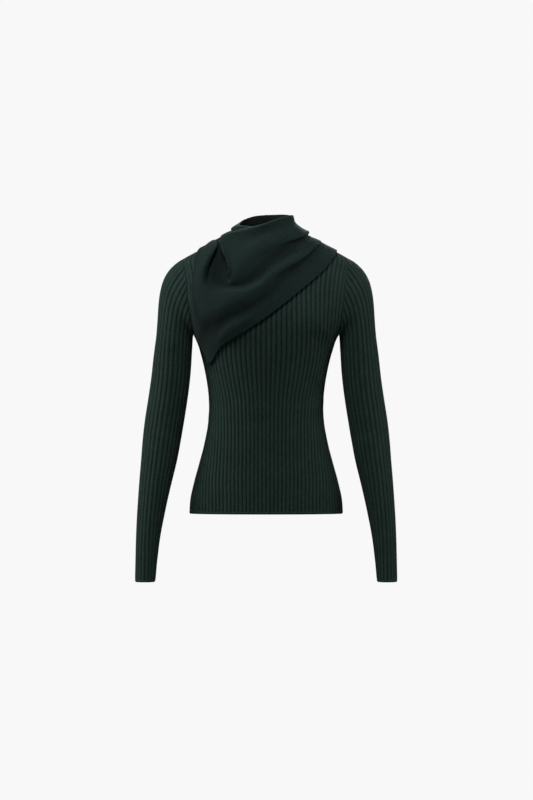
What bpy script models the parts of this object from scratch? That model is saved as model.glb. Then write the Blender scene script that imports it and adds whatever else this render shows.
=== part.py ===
"""Long-sleeved rib-knit top with a draped scarf collar, in the hollow shape of its wearer.

The cloth is cut as its maker cuts it: a front, a back, two set-in sleeves, a plain neckband and a
plain scarf collar. Each piece is one closed wall. The rib panels are raised in the wall's outer
points, one valley and one crest for each rib, over a plain inside. Ribs keep their knitted pitch and
run out at the side seams, the armholes and the shoulders, as they do in fashioned knitwear.

Metres, +Z up, front towards -Y. The origin is at the neck base, where the wearer's shoulders hold
the top up.
"""

import functools
import math

import bmesh
import bpy
import numpy as np

# Cloth
RIB_CREST = 0.0028      # wall at the top of a rib, from the plain inside
RIB_VALLEY = 0.0011     # wall between two ribs
PLAIN_WALL = 0.0018     # plain jersey of the neckband and the scarf
SEAM_GAP = 0.0003       # between two pieces that are sewn together
INSIDE_STEP = 2.0       # ribs between two columns of the plain inside

# General figure under the top, in level slices from the hem to the top of the neck
FORM_COLUMNS = ("height", "half_width", "front_depth", "back_depth", "rib_pitch")
FORM = (
    (-0.557, 0.1540, 0.080, 0.100, 0.0078),
    (-0.530, 0.1520, 0.080, 0.100, 0.0078),
    (-0.490, 0.1433, 0.080, 0.098, 0.0079),
    (-0.450, 0.1322, 0.080, 0.093, 0.0078),
    (-0.410, 0.1222, 0.082, 0.088, 0.0078),
    (-0.370, 0.1156, 0.084, 0.084, 0.0079),
    (-0.350, 0.1143, 0.086, 0.082, 0.0080),
    (-0.330, 0.1148, 0.088, 0.082, 0.0082),
    (-0.300, 0.1177, 0.093, 0.084, 0.0089),
    (-0.270, 0.1232, 0.100, 0.086, 0.0096),
    (-0.240, 0.1303, 0.107, 0.089, 0.0101),
    (-0.210, 0.1401, 0.113, 0.092, 0.0102),
    (-0.180, 0.1580, 0.116, 0.095, 0.0101),
    (-0.150, 0.1700, 0.114, 0.098, 0.0100),
    (-0.120, 0.1780, 0.107, 0.100, 0.0099),
    (-0.090, 0.1820, 0.096, 0.098, 0.0100),
    (-0.070, 0.1810, 0.086, 0.092, 0.0102),
    (-0.054, 0.1780, 0.076, 0.084, 0.0104),
    (-0.046, 0.1630, 0.071, 0.079, 0.0105),
    (-0.034, 0.1406, 0.064, 0.071, 0.0106),
    (-0.020, 0.1130, 0.058, 0.062, 0.0106),
    (-0.010, 0.0940, 0.055, 0.056, 0.0106),
    (0.000, 0.0760, 0.053, 0.052, 0.0106),
    (0.008, 0.0620, 0.051, 0.050, 0.0106),
    (0.020, 0.0535, 0.049, 0.048, 0.0106),
    (0.050, 0.0480, 0.047, 0.046, 0.0106),
)
SQUARENESS = 2.2        # exponent of each slice's superellipse
BUST_SHARE = 0.13       # how much deeper the front stands at the two fullest places
BUST_X, BUST_Z = 0.072, -0.172
BUST_WIDE, BUST_HIGH = 0.044, 0.050

# Body panels
UNDERARM_Z = -0.201
BODY_ROWS = (-0.557, -0.522, -0.482, -0.442, -0.400, -0.352, -0.304, -0.262, -0.228, UNDERARM_Z)
CHEST_SHARES = (0.04, 0.11, 0.22, 0.36, 0.52, 0.69, 0.85, 1.0)    # of the way from underarm to shoulder
SHOULDER_TIP_Z = -0.047
ARMHOLE_COLUMNS = ("height", "half_across")
ARMHOLE = (
    (UNDERARM_Z, 0.1445),
    (-0.190, 0.1455),
    (-0.170, 0.1490),
    (-0.150, 0.1520),
    (-0.120, 0.1550),
    (-0.085, 0.1580),
    (-0.062, 0.1625),
    (SHOULDER_TIP_Z, 0.1649),
)
ARMHOLE_HUB_Z = -0.124
NECK_HALF = 0.066       # half the width of the neckline
NECK_SIDE_Z = 0.005
NECK_FRONT_Z, NECK_BACK_Z = -0.020, -0.002

# Sleeves, in level slices from the cuff to the upper arm
ARM_COLUMNS = ("height", "centre_x", "half_width", "centre_y", "half_depth", "rib_pitch")
ARM = (
    (-0.692, 0.2409, 0.0205, -0.036, 0.0295, 0.0079),
    (-0.650, 0.2385, 0.0221, -0.031, 0.0305, 0.0079),
    (-0.610, 0.2358, 0.0240, -0.026, 0.0320, 0.0080),
    (-0.570, 0.2315, 0.0269, -0.020, 0.0340, 0.0083),
    (-0.530, 0.2263, 0.0298, -0.014, 0.0365, 0.0087),
    (-0.490, 0.2202, 0.0332, -0.008, 0.0390, 0.0091),
    (-0.450, 0.2139, 0.0363, -0.003, 0.0405, 0.0095),
    (-0.410, 0.2087, 0.0385, 0.001, 0.0412, 0.0098),
    (-0.370, 0.2031, 0.0397, 0.004, 0.0415, 0.0100),
    (-0.330, 0.1969, 0.0397, 0.005, 0.0420, 0.0100),
    (-0.290, 0.1914, 0.0393, 0.005, 0.0432, 0.0100),
    (-0.240, 0.1866, 0.0384, 0.004, 0.0448, 0.0098),
    (-0.204, 0.1832, 0.0370, 0.002, 0.0460, 0.0096),
)
BICEPS_Z = -0.204
SLEEVE_ROWS = (-0.692, -0.652, -0.604, -0.554, -0.504, -0.454, -0.404, -0.352, -0.300, -0.250, BICEPS_Z)
CAP_SHARES = (0.24, 0.46, 0.67, 0.85)     # of the way from the upper arm to the armhole seam
CAP_CROWDING = 1.5      # crowds the ribs towards the top of the armhole
CAP_TOP_PULL, CAP_ARM_PULL = 0.41, 0.44     # handle lengths of the cap's curves, in chords

# Neckband: the height and stand-off of its top edge, by bearing from the front (0) to its own left
BAND_COLUMNS = ("bearing", "top_height", "stand_off", "slouch")
BAND = (
    (-180.0, 0.0412, 0.001, -0.005),
    (-150.0, 0.0385, 0.001, -0.004),
    (-120.0, 0.0315, 0.004, 0.003),
    (-90.0, 0.0225, 0.008, 0.013),
    (-60.0, 0.0180, 0.005, 0.008),
    (-30.0, 0.0150, 0.002, 0.001),
    (0.0, 0.0140, 0.001, -0.002),
    (30.0, 0.0200, 0.001, -0.004),
    (60.0, 0.0300, 0.001, -0.007),
    (90.0, 0.0370, 0.000, -0.009),
    (130.0, 0.0412, 0.001, -0.007),
    (180.0, 0.0412, 0.001, -0.005),
)
BAND_SHARES = (0.0, 0.3, 0.65, 1.0)

# Scarf collar: one row for each section, from the left shoulder round the front to the right
# shoulder and back round the nape. Each place is (x, z) seen from the front.
SCARF_COLUMNS = ("side", "fullness", "rim", "dip", "flap_edge", "first_trough", "swag_crest",
                 "swag_edge", "second_trough", "hem")
RIDGE, FRONT, BACK = 0, -1, 1
SCARF = (
    (RIDGE, 0.5, (0.056, 0.040), (0.059, 0.024), (0.086, 0.006), (0.082, -0.002),
     (0.097, -0.006), (0.109, -0.012), (0.114, -0.018), (0.140, -0.031)),
    (FRONT, 0.6, (0.050, 0.038), (0.058, 0.020), (0.077, -0.002), (0.076, -0.010),
     (0.090, -0.019), (0.100, -0.027), (0.106, -0.036), (0.137, -0.044)),
    (FRONT, 0.8, (0.041, 0.035), (0.046, 0.017), (0.054, -0.008), (0.056, -0.018),
     (0.068, -0.033), (0.078, -0.046), (0.083, -0.057), (0.117, -0.070)),
    (FRONT, 1.0, (0.029, 0.031), (0.030, 0.010), (0.029, -0.020), (0.032, -0.032),
     (0.042, -0.046), (0.052, -0.061), (0.056, -0.075), (0.081, -0.105)),
    (FRONT, 1.1, (0.015, 0.027), (0.012, 0.002), (0.004, -0.035), (0.008, -0.048),
     (0.014, -0.063), (0.022, -0.082), (0.025, -0.098), (0.038, -0.140)),
    (FRONT, 1.1, (0.000, 0.021), (-0.006, -0.008), (-0.018, -0.050), (-0.014, -0.065),
     (-0.012, -0.080), (-0.008, -0.102), (-0.005, -0.119), (-0.006, -0.171)),
    (FRONT, 1.1, (-0.016, 0.018), (-0.024, -0.020), (-0.041, -0.075), (-0.036, -0.089),
     (-0.038, -0.098), (-0.040, -0.119), (-0.038, -0.137), (-0.050, -0.197)),
    (FRONT, 1.0, (-0.034, 0.015), (-0.042, -0.028), (-0.062, -0.092), (-0.060, -0.105),
     (-0.066, -0.112), (-0.074, -0.134), (-0.075, -0.153), (-0.086, -0.221)),
    (FRONT, 1.0, (-0.052, 0.012), (-0.059, -0.030), (-0.075, -0.098), (-0.080, -0.106),
     (-0.090, -0.114), (-0.101, -0.149), (-0.105, -0.172), (-0.113, -0.257)),
    (FRONT, 1.1, (-0.067, 0.007), (-0.070, -0.026), (-0.075, -0.078), (-0.088, -0.090),
     (-0.109, -0.108), (-0.125, -0.152), (-0.128, -0.180), (-0.128, -0.241)),
    (FRONT, 1.2, (-0.078, 0.003), (-0.0785, -0.020), (-0.079, -0.058), (-0.093, -0.070),
     (-0.119, -0.090), (-0.136, -0.128), (-0.140, -0.152), (-0.1415, -0.194)),
    (FRONT, 1.2, (-0.086, -0.001), (-0.0855, -0.015), (-0.085, -0.040), (-0.097, -0.049),
     (-0.125, -0.064), (-0.140, -0.090), (-0.145, -0.105), (-0.1485, -0.128)),
    (FRONT, 0.7, (-0.091, -0.004), (-0.0905, -0.010), (-0.090, -0.021), (-0.100, -0.027),
     (-0.120, -0.037), (-0.133, -0.052), (-0.139, -0.060), (-0.144, -0.072)),
    (RIDGE, 0.5, (-0.088, 0.000), (-0.090, -0.0015), (-0.092, -0.004), (-0.096, -0.008),
     (-0.106, -0.0095), (-0.116, -0.017), (-0.121, -0.022), (-0.128, -0.028)),
    (BACK, 0.5, (-0.068, 0.010), (-0.070, 0.004), (-0.072, -0.004), (-0.074, -0.012),
     (-0.084, -0.024), (-0.094, -0.040), (-0.097, -0.048), (-0.106, -0.064)),
    (BACK, 0.5, (-0.034, 0.018), (-0.035, 0.009), (-0.036, -0.002), (-0.037, -0.012),
     (-0.042, -0.032), (-0.047, -0.054), (-0.048, -0.064), (-0.052, -0.092)),
    (BACK, 0.5, (0.012, 0.026), (0.012, 0.013), (0.012, 0.000), (0.012, -0.012),
     (0.013, -0.034), (0.014, -0.058), (0.014, -0.068), (0.016, -0.098)),
    (BACK, 0.5, (0.046, 0.034), (0.052, 0.018), (0.060, 0.002), (0.062, -0.008),
     (0.072, -0.024), (0.082, -0.042), (0.084, -0.050), (0.104, -0.070)),
)
# How far each line of the scarf stands off the figure: least, and more for a fullness of 1
STAND_OFF_COLUMNS = ("line", "least", "more_when_full")
STAND_OFF = (
    ("rim", 0.0065, 0.0050),
    ("dip", 0.0055, 0.0040),
    ("flap_edge", 0.0060, 0.0110),
    ("first_trough", 0.0050, 0.0010),
    ("swag_crest", 0.0060, 0.0085),
    ("swag_edge", 0.0055, 0.0080),
    ("second_trough", 0.0045, 0.0005),
    ("hem", 0.0042, 0.0005),
)
SCARF_LEAST = 0.0042            # nowhere nearer to the figure than this
SCARF_SPAN_STEPS = 3            # sections made between two rows of the table
SCARF_LINE_STEPS = (2, 3, 2, 3, 2, 2, 4)    # points made between two neighbouring lines

# Finish of each piece: dark green merino knit, in linear colour
FINISH_COLUMNS = ("piece", "red", "green", "blue", "roughness")
FINISHES = (
    ("front", 0.0115, 0.0200, 0.0165, 0.90),
    ("back", 0.0115, 0.0200, 0.0165, 0.90),
    ("sleeve_left", 0.0120, 0.0205, 0.0170, 0.90),
    ("sleeve_right", 0.0120, 0.0205, 0.0170, 0.90),
    ("neckband", 0.0085, 0.0150, 0.0125, 0.85),
    ("scarf", 0.0092, 0.0160, 0.0132, 0.85),
)


@functools.cache
def curve_data(table, names, wanted):
    """The first column of a table, a named one, and the named one's slopes."""
    keys = np.array([row[0] for row in table], float)
    values = np.array([row[names.index(wanted)] for row in table], float)
    return keys, values, np.gradient(values, keys)


def smooth(table, names, wanted, at):
    """A named column as a smooth curve over the first column, read at the places `at`."""
    keys, values, slopes = curve_data(table, names, wanted)
    at = np.clip(np.asarray(at, float), keys[0], keys[-1])
    i = np.clip(np.searchsorted(keys, at, side="right") - 1, 0, len(keys) - 2)
    span = keys[i + 1] - keys[i]
    t = (at - keys[i]) / span
    return ((1 + 2 * t) * (1 - t) ** 2 * values[i] + t * (1 - t) ** 2 * span * slopes[i]
            + t * t * (3 - 2 * t) * values[i + 1] + t * t * (t - 1) * span * slopes[i + 1])


def unit(vectors):
    """The same vectors at length 1."""
    return vectors / np.maximum(np.linalg.norm(vectors, axis=-1, keepdims=True), 1e-12)


def form(name, z):
    """A named size of the figure at height z."""
    return smooth(FORM, FORM_COLUMNS, name, z)


def bust(x, z):
    """The share by which the front is deeper at (x, z)."""
    across = (np.abs(x) - BUST_X) / BUST_WIDE
    up = (z - BUST_Z) / BUST_HIGH
    return BUST_SHARE * np.exp(-across ** 2 - up ** 2)


def fill(points):
    """Below 1 inside the figure, 1 on its surface and above 1 outside."""
    x, y, z = points[..., 0], points[..., 1], points[..., 2]
    depth = np.where(y < 0, form("front_depth", z) * (1 + bust(x, z)), form("back_depth", z))
    total = (np.abs(x) / form("half_width", z)) ** SQUARENESS + (np.abs(y) / depth) ** SQUARENESS
    return total ** (1 / SQUARENESS)


def gradient(points):
    """How fast fill() changes along x, y and z."""
    step = 0.0004
    parts = []
    for axis in np.eye(3):
        parts.append((fill(points + axis * step) - fill(points - axis * step)) / (2 * step))
    return np.stack(parts, axis=-1)


def distance(points):
    """Nearly the distance of points from the figure's surface."""
    return (fill(points) - 1) / np.maximum(np.linalg.norm(gradient(points), axis=-1), 1e-9)


@functools.cache
def slice_curve(side, z, samples=181):
    """Points and running length of a quarter slice at height z, from the centre line to the seam."""
    turn = np.linspace(0, math.pi / 2, samples)
    x = form("half_width", z) * np.sin(turn) ** (2 / SQUARENESS)
    depth = form("front_depth" if side < 0 else "back_depth", z)
    y = depth * np.cos(turn) ** (2 / SQUARENESS)
    if side < 0:
        y = y * (1 + bust(x, z))
    length = np.concatenate([[0], np.cumsum(np.hypot(np.diff(x), np.diff(y)))])
    return x, side * y, length


def body_point(side, rib, z):
    """The place on the figure of a rib, counted from the centre line, at height z."""
    x, y, length = slice_curve(side, z)
    along = min(abs(rib) * float(form("rib_pitch", z)), length[-1])
    depth = max(abs(np.interp(along, length, y)), SEAM_GAP / 2)
    return np.array([math.copysign(np.interp(along, length, x), rib), side * depth, z])


def seam_rib(side, z):
    """The rib number at the side or shoulder seam at height z."""
    return slice_curve(side, z)[2][-1] / float(form("rib_pitch", z))


def armhole_rib(side, z):
    """The rib number at the armhole seam at height z."""
    across = float(smooth(ARMHOLE, ARMHOLE_COLUMNS, "half_across", z))
    x, _, length = slice_curve(side, z)
    return np.interp(across, x, length) / float(form("rib_pitch", z))


def neckline_z(side, x):
    """The height of the neckline at x."""
    middle = NECK_FRONT_Z if side < 0 else NECK_BACK_Z
    share = min(abs(x) / NECK_HALF, 1.0)
    return middle + (NECK_SIDE_Z - middle) * share ** SQUARENESS if share < 1 else math.inf


def highest(is_below, low, high):
    """The greatest value between low and high that is_below still accepts."""
    for _ in range(30):
        middle = (low + high) / 2
        if is_below(middle):
            low = middle
        else:
            high = middle
    return low


def rib_top(side, rib):
    """The height at which a rib meets the shoulder seam or the neckline."""
    def is_cloth(z):
        return rib < seam_rib(side, z) and z < neckline_z(side, body_point(side, rib, z)[0])
    return highest(is_cloth, -0.110, 0.010)


def body_rows(side):
    """The rows of a body panel from the hem up: each a list of (rib, point, seam normal or None)."""
    numbers = np.arange(0, 22.01, 0.5)
    tops = np.array([rib_top(side, rib) for rib in numbers])

    def place(rib, share):
        top = np.interp(abs(rib), numbers, tops)
        return body_point(side, rib, UNDERARM_Z + (top - UNDERARM_Z) * share)

    rows = []
    for z in BODY_ROWS:
        edge = seam_rib(side, z) - SEAM_GAP / 2 / float(form("rib_pitch", z))
        ribs = rib_numbers(edge)
        rows.append([(rib, body_point(side, rib, z), None) for rib in ribs])
    for share in CHEST_SHARES:
        def is_under_row(z):
            rib = armhole_rib(side, z)
            return z < UNDERARM_Z + (np.interp(rib, numbers, tops) - UNDERARM_Z) * share
        if share < 1:
            z = highest(is_under_row, UNDERARM_Z, SHOULDER_TIP_Z)
            edge = armhole_rib(side, z)
        else:
            z = SHOULDER_TIP_Z
            edge = seam_rib(side, z)
        edge -= SEAM_GAP / 2 / float(form("rib_pitch", z))
        row = [(rib, place(rib, share), None) for rib in rib_numbers(edge)]
        for end in (0, -1):
            rib = row[end][0]
            point = body_point(side, rib, z)
            row[end] = (rib, point, hub_normal(point))
        rows.append(row)
    rows[-1] = [(rib, point, crease_normal(point, abs(point[0]) < NECK_HALF) if way is None else way)
                for rib, point, way in rows[-1]]
    return rows


def rib_numbers(edge):
    """Valleys at whole numbers, crests at halves, and the seam at each end."""
    last = math.floor((edge - 0.3) * 2) / 2
    inner = np.arange(-last, last + 0.01, 0.5)
    return [-edge, *inner, edge]


def hub_normal(point):
    """The way out from the middle of the armhole, square to the sleeve's way."""
    return unit(np.array([0.0, point[1], point[2] - ARMHOLE_HUB_Z]))


def crease_normal(point, at_neck):
    """The way out at the top edge of a panel: half-way between panel and neckband at the neck."""
    normal = unit(gradient(point))
    normal[1] = min(normal[1], 0) if point[1] < 0 else max(normal[1], 0)
    if not at_neck:
        normal[1] = 0.0
        return unit(normal)
    return unit(normal + unit(np.array([point[0], point[1], 0.0])))


def rib_relief(rib, edge):
    """How far the outer face lies below the crests at a rib number."""
    drop = RIB_CREST - RIB_VALLEY
    if abs(abs(rib) - edge) < 1e-9 or abs(rib * 2 - round(rib * 2)) > 1e-6:
        return drop / 2
    return 0.0 if round(rib * 2) % 2 else drop


def zip_rows(first, second, keys_first, keys_second):
    """Triangles between two rows of vertices whose points lie at the given keys."""
    faces, i, j = [], 0, 0
    while i < len(first) - 1 or j < len(second) - 1:
        ahead_first = keys_first[i + 1] if i < len(first) - 1 else math.inf
        ahead_second = keys_second[j + 1] if j < len(second) - 1 else math.inf
        if ahead_first <= ahead_second:
            faces.append((first[i], first[i + 1], second[j]))
            i += 1
        else:
            faces.append((first[i], second[j + 1], second[j]))
            j += 1
    return faces


def panel_wall(name, rows, normals, flipped):
    """One closed wall from ragged rows: ribs outside, plain inside, and an edge all round."""
    mesh = bmesh.new()
    outer, inner = [], []
    for index, (row, ways) in enumerate(zip(rows, normals)):
        edge = row[-1][0]
        step = {0: 0.5, len(rows) - 1: 0.5, len(rows) - 2: 0.5, len(rows) - 3: 1.0}.get(index, INSIDE_STEP)
        outer_row, inner_row = [], []
        for (rib, point, _), way in zip(row, ways):
            relief = rib_relief(rib, edge)
            outer_row.append((rib, mesh.verts.new(point - way * relief)))
            is_end = abs(abs(rib) - edge) < 1e-9
            if is_end or step < 1 or (abs(rib) % step < 1e-6 and edge - abs(rib) > 0.8):
                inner_row.append((rib, mesh.verts.new(point - way * RIB_CREST)))
        outer.append(outer_row)
        inner.append(inner_row)

    faces = []

    def bridge(first, second):
        keys = [[rib for rib, _ in row] for row in (first, second)]
        verts = [[vert for _, vert in row] for row in (first, second)]
        return zip_rows(verts[0], verts[1], keys[0], keys[1])

    for lower, upper in zip(outer, outer[1:]):
        faces += bridge(lower, upper)
    for lower, upper in zip(inner, inner[1:]):
        faces += [face[::-1] for face in bridge(lower, upper)]
    faces += bridge(inner[0], outer[0])
    faces += bridge(outer[-1], inner[-1])
    for end, turned in ((0, True), (-1, False)):
        for k in range(len(rows) - 1):
            corners = [outer[k][end][1], outer[k + 1][end][1], inner[k + 1][end][1], inner[k][end][1]]
            if not turned:
                corners.reverse()
            faces += [(corners[0], corners[1], corners[2]), (corners[0], corners[2], corners[3])]
    for face in faces:
        mesh.faces.new(face[::-1] if flipped else face)
    return finish(name, mesh)


def ring_wall(name, outer, inner):
    """One closed wall from rows of rings: outer[row][column] and inner[row][column]."""
    mesh = bmesh.new()
    skins = [[[mesh.verts.new(p) for p in row] for row in skin] for skin in (outer, inner)]
    rows, columns = len(outer), len(outer[0])

    def quad(a, b, c, d):
        mesh.faces.new((a, b, c))
        mesh.faces.new((a, c, d))

    def short_way(skin, r, k, n):
        """The corners of a cell, from an end of the shorter diagonal of the outer skin."""
        corners = [(r, k), (r, n), (r + 1, n), (r + 1, k)]
        spots = [skins[0][row][place].co for row, place in corners]
        if (spots[0] - spots[2]).length > (spots[1] - spots[3]).length:
            corners = corners[1:] + corners[:1]
        return [skins[skin][row][place] for row, place in corners]

    for k in range(columns):
        n = (k + 1) % columns
        for r in range(rows - 1):
            quad(*short_way(0, r, k, n))
            a, b, c, d = short_way(1, r, k, n)
            quad(a, d, c, b)
        quad(skins[0][0][n], skins[0][0][k], skins[1][0][k], skins[1][0][n])
        quad(skins[0][-1][k], skins[0][-1][n], skins[1][-1][n], skins[1][-1][k])
    return finish(name, mesh)


def finish(name, mesh):
    """Makes the object of a wall: faces out, smooth but for its edges, in the knit's finish."""
    bmesh.ops.recalc_face_normals(mesh, faces=mesh.faces)
    if mesh.calc_volume(signed=True) < 0:
        bmesh.ops.reverse_faces(mesh, faces=mesh.faces)
    data = bpy.data.meshes.new(name)
    mesh.to_mesh(data)
    mesh.free()
    data.shade_smooth()
    data.set_sharp_from_angle(angle=math.radians(32))
    data.materials.append(knit_material(name))
    thing = bpy.data.objects.new(name, data)
    bpy.context.scene.collection.objects.link(thing)
    return thing


def knit_material(piece):
    """The dull dark green wool knit of one piece."""
    row = next(row for row in FINISHES if row[0] == piece)
    material = bpy.data.materials.new(piece + "_knit")
    material.use_nodes = True
    shader = material.node_tree.nodes["Principled BSDF"]
    shader.inputs["Base Color"].default_value = (*row[1:4], 1.0)
    shader.inputs["Roughness"].default_value = row[4]
    shader.inputs["Metallic"].default_value = 0.0
    return material


def body_panel(name, side):
    """A front (side -1) or back (side 1) with its ribs, and its rows for the pieces sewn to it."""
    rows = body_rows(side)
    normals = []
    for row in rows:
        ways = []
        for _, point, seam_way in row:
            ways.append(unit(gradient(point)) if seam_way is None else seam_way)
        normals.append(ways)
    for ways in normals[:len(BODY_ROWS) - 1]:
        for end, turn in ((0, -1.0), (-1, 1.0)):
            ways[end] = np.array([turn, 0.0, 0.0])
    underarm = len(BODY_ROWS) - 1
    for end in (0, -1):
        normals[underarm][end] = hub_normal(rows[underarm][end][1])
    panel_wall(name, rows, normals, flipped=side > 0)
    return rows


def armhole_line(front_rows, back_rows, sign):
    """The armhole seam of one side: (share from the shoulder tip, point, normal), front then back."""
    end = -1 if sign > 0 else 0
    halves = []
    for rows, side in ((front_rows, -1), (back_rows, 1)):
        first = len(BODY_ROWS) - 1
        points = [row[end][1] for row in rows[first:]][::-1]
        steps = [np.linalg.norm(b - a) for a, b in zip(points, points[1:])]
        run = np.concatenate([[0], np.cumsum(steps)])
        shares = side * run / run[-1]
        halves.append(list(zip(shares, points)))
    front, back = halves
    return front[::-1] + back


def arm(name, z):
    """A named size of the sleeve at height z."""
    return float(smooth(ARM, ARM_COLUMNS, name, z))


@functools.cache
def arm_ring(z, samples=181):
    """Points and running length of a sleeve ring from its outer line round the back to the seam."""
    turn = np.linspace(0, math.pi, samples)
    x = arm("centre_x", z) + arm("half_width", z) * np.cos(turn)
    y = arm("half_depth", z) * np.sin(turn)
    length = np.concatenate([[0], np.cumsum(np.hypot(np.diff(x), np.diff(y)))])
    return x, y, length


def arm_point(share, z, sign):
    """A place on the sleeve: share -1 to 1 from the seam, by the front, the outer line and the back."""
    x, y, length = arm_ring(z)
    along = abs(share) * length[-1]
    depth = math.copysign(np.interp(along, length, y), share)
    return np.array([sign * np.interp(along, length, x), arm("centre_y", z) + depth, z])


def arm_normal(share, z, sign):
    """The way out of the sleeve at a share of its ring."""
    point = arm_point(share, z, sign)
    wide, deep = arm("half_width", z), arm("half_depth", z)
    off_x, off_y = point[0] - sign * arm("centre_x", z), point[1] - arm("centre_y", z)
    return unit(np.array([off_x / wide ** 2, off_y / deep ** 2, 0.0]))


def cap_row(seam, ribs, edge, share, sign):
    """A row between the upper arm (share 0) and the armhole seam (share 1)."""
    seam_shares = np.array([s for s, _ in seam])
    seam_points = np.array([p for _, p in seam])
    row, ways = [], []
    for rib in ribs:
        part = rib / edge
        crowded = math.copysign(abs(part) ** CAP_CROWDING, part)
        top = np.array([np.interp(crowded, seam_shares, seam_points[:, k]) for k in range(3)])
        top[0] = sign * (abs(top[0]) + SEAM_GAP)
        foot = arm_point(part * (1 - SEAM_GAP / 0.26), BICEPS_Z, sign)
        chord = np.linalg.norm(top - foot)
        lean = 1 - abs(crowded)
        start = unit(np.array([sign * (0.25 + 0.67 * lean), 0.0, -(1.0 - 0.53 * lean)]))
        finish_way = unit(np.array([sign * 0.10, 0.0, -1.0]))
        first = top + start * chord * CAP_TOP_PULL
        second = foot - finish_way * chord * CAP_ARM_PULL
        t = 1 - share
        point = ((1 - t) ** 3 * top + 3 * (1 - t) ** 2 * t * first
                 + 3 * (1 - t) * t * t * second + t ** 3 * foot)
        way = unit(arm_normal(part, BICEPS_Z, sign) * (1 - share) + hub_normal(top) * share)
        row.append((rib, point, None))
        ways.append(way)
    return row, ways


def sleeve(name, seam, sign):
    """A set-in sleeve with its ribs, closed by a seam on its inner side."""
    rows, normals = [], []
    for z in SLEEVE_ROWS:
        full = arm_ring(z)[2][-1] / arm("rib_pitch", z)
        ribs = rib_numbers(full)
        keep = 1 - SEAM_GAP / 2 / (full * arm("rib_pitch", z))
        rows.append([(rib, arm_point(rib / full * keep, z, sign), None) for rib in ribs])
        normals.append([arm_normal(rib / full * keep, z, sign) for rib in ribs])
    edge = rows[-1][-1][0]
    for share in CAP_SHARES:
        row, ways = cap_row(seam, rib_numbers(edge), edge, share, sign)
        rows.append(row)
        normals.append(ways)
    joins = [math.copysign(abs(s) ** (1 / CAP_CROWDING), s) * edge for s, _ in seam[1:-1]]
    spare = [rib for rib in rib_numbers(edge) if min(abs(rib - join) for join in joins) > 0.12]
    row, ways = cap_row(seam, sorted(spare + joins), edge, 1.0, sign)
    rows.append(row)
    normals.append(ways)
    return panel_wall(name, rows, normals, flipped=sign < 0)


def neckband(front_rows, back_rows):
    """A plain standing band on the neckline, slouched over at the wearer's right."""
    front = [p for _, p, _ in front_rows[-1] if abs(p[0]) < NECK_HALF]
    back = [p for _, p, _ in back_rows[-1] if abs(p[0]) < NECK_HALF][::-1]
    loop = front + back
    outer = [[] for _ in BAND_SHARES]
    inner = [[] for _ in BAND_SHARES]
    for foot in loop:
        facing = math.degrees(math.atan2(foot[0], -foot[1]))
        height, stand, slouch = (float(smooth(BAND, BAND_COLUMNS, name, facing))
                                 for name in BAND_COLUMNS[1:])
        foot_way = crease_normal(foot, True)
        across = unit(np.array([0.0, 0.0, 1.0]) - foot_way * foot_way[2])
        foot = foot + across * SEAM_GAP * 2
        out = unit(np.array([foot[0], foot[1], 0.0]))
        reach = highest(lambda r: distance(np.array([*(out[:2] * r), height])) < stand, 0.02, 0.12)
        top = np.array([*(out[:2] * reach), height])
        middle = (foot + top) / 2 + out * slouch + np.array([0.0, 0.0, 0.004])
        for k, share in enumerate(BAND_SHARES):
            point = ((1 - share) ** 2 * foot + 2 * share * (1 - share) * middle + share ** 2 * top)
            way = unit(foot_way * max(0.0, 1 - 2 * share) + out * min(1.0, 2 * share))
            outer[k].append(point)
            inner[k].append(point - way * PLAIN_WALL)
    return ring_wall("neckband", outer, inner)


def stand_point(side, place, stand):
    """A place seen from the front at (x, z), moved out of the figure until it stands off it."""
    x, z = place
    if side == RIDGE:
        return np.array([x, 0.0, z])
    reach = highest(lambda y: distance(np.array([x, side * y, z])) < stand, 0.0, 0.30)
    return np.array([x, side * reach, z])


def curve_through(points, steps, closed):
    """Points on a smooth curve through the given ones, with steps[k] pieces in span k."""
    points = [np.asarray(p, float) for p in points]
    count = len(points)
    if not closed:
        points = [2 * points[0] - points[1], *points, 2 * points[-1] - points[-2]]
    made = []
    for k in range(count if closed else count - 1):
        if closed:
            p = [points[(k + d) % count] for d in (-1, 0, 1, 2)]
        else:
            p = points[k:k + 4]
        knots = [0.0]
        for a, b in zip(p, p[1:]):
            knots.append(knots[-1] + max(np.linalg.norm(b - a), 1e-6) ** 0.5)
        for step in range(steps[k]):
            made.append(spline_point(p, knots, knots[1] + (knots[2] - knots[1]) * step / steps[k]))
    if not closed:
        made.append(points[-2])
    return made


def between(a, b, knot_a, knot_b, t):
    """The point at t of the straight line that is at a at knot_a and at b at knot_b."""
    return ((knot_b - t) * a + (t - knot_a) * b) / (knot_b - knot_a)


def spline_point(p, knots, t):
    """The point at t of the centripetal curve through four points, between the middle two."""
    lines = [between(p[k], p[k + 1], knots[k], knots[k + 1], t) for k in range(3)]
    arcs = [between(lines[k], lines[k + 1], knots[k], knots[k + 2], t) for k in range(2)]
    return between(arcs[0], arcs[1], knots[1], knots[2], t)


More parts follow.
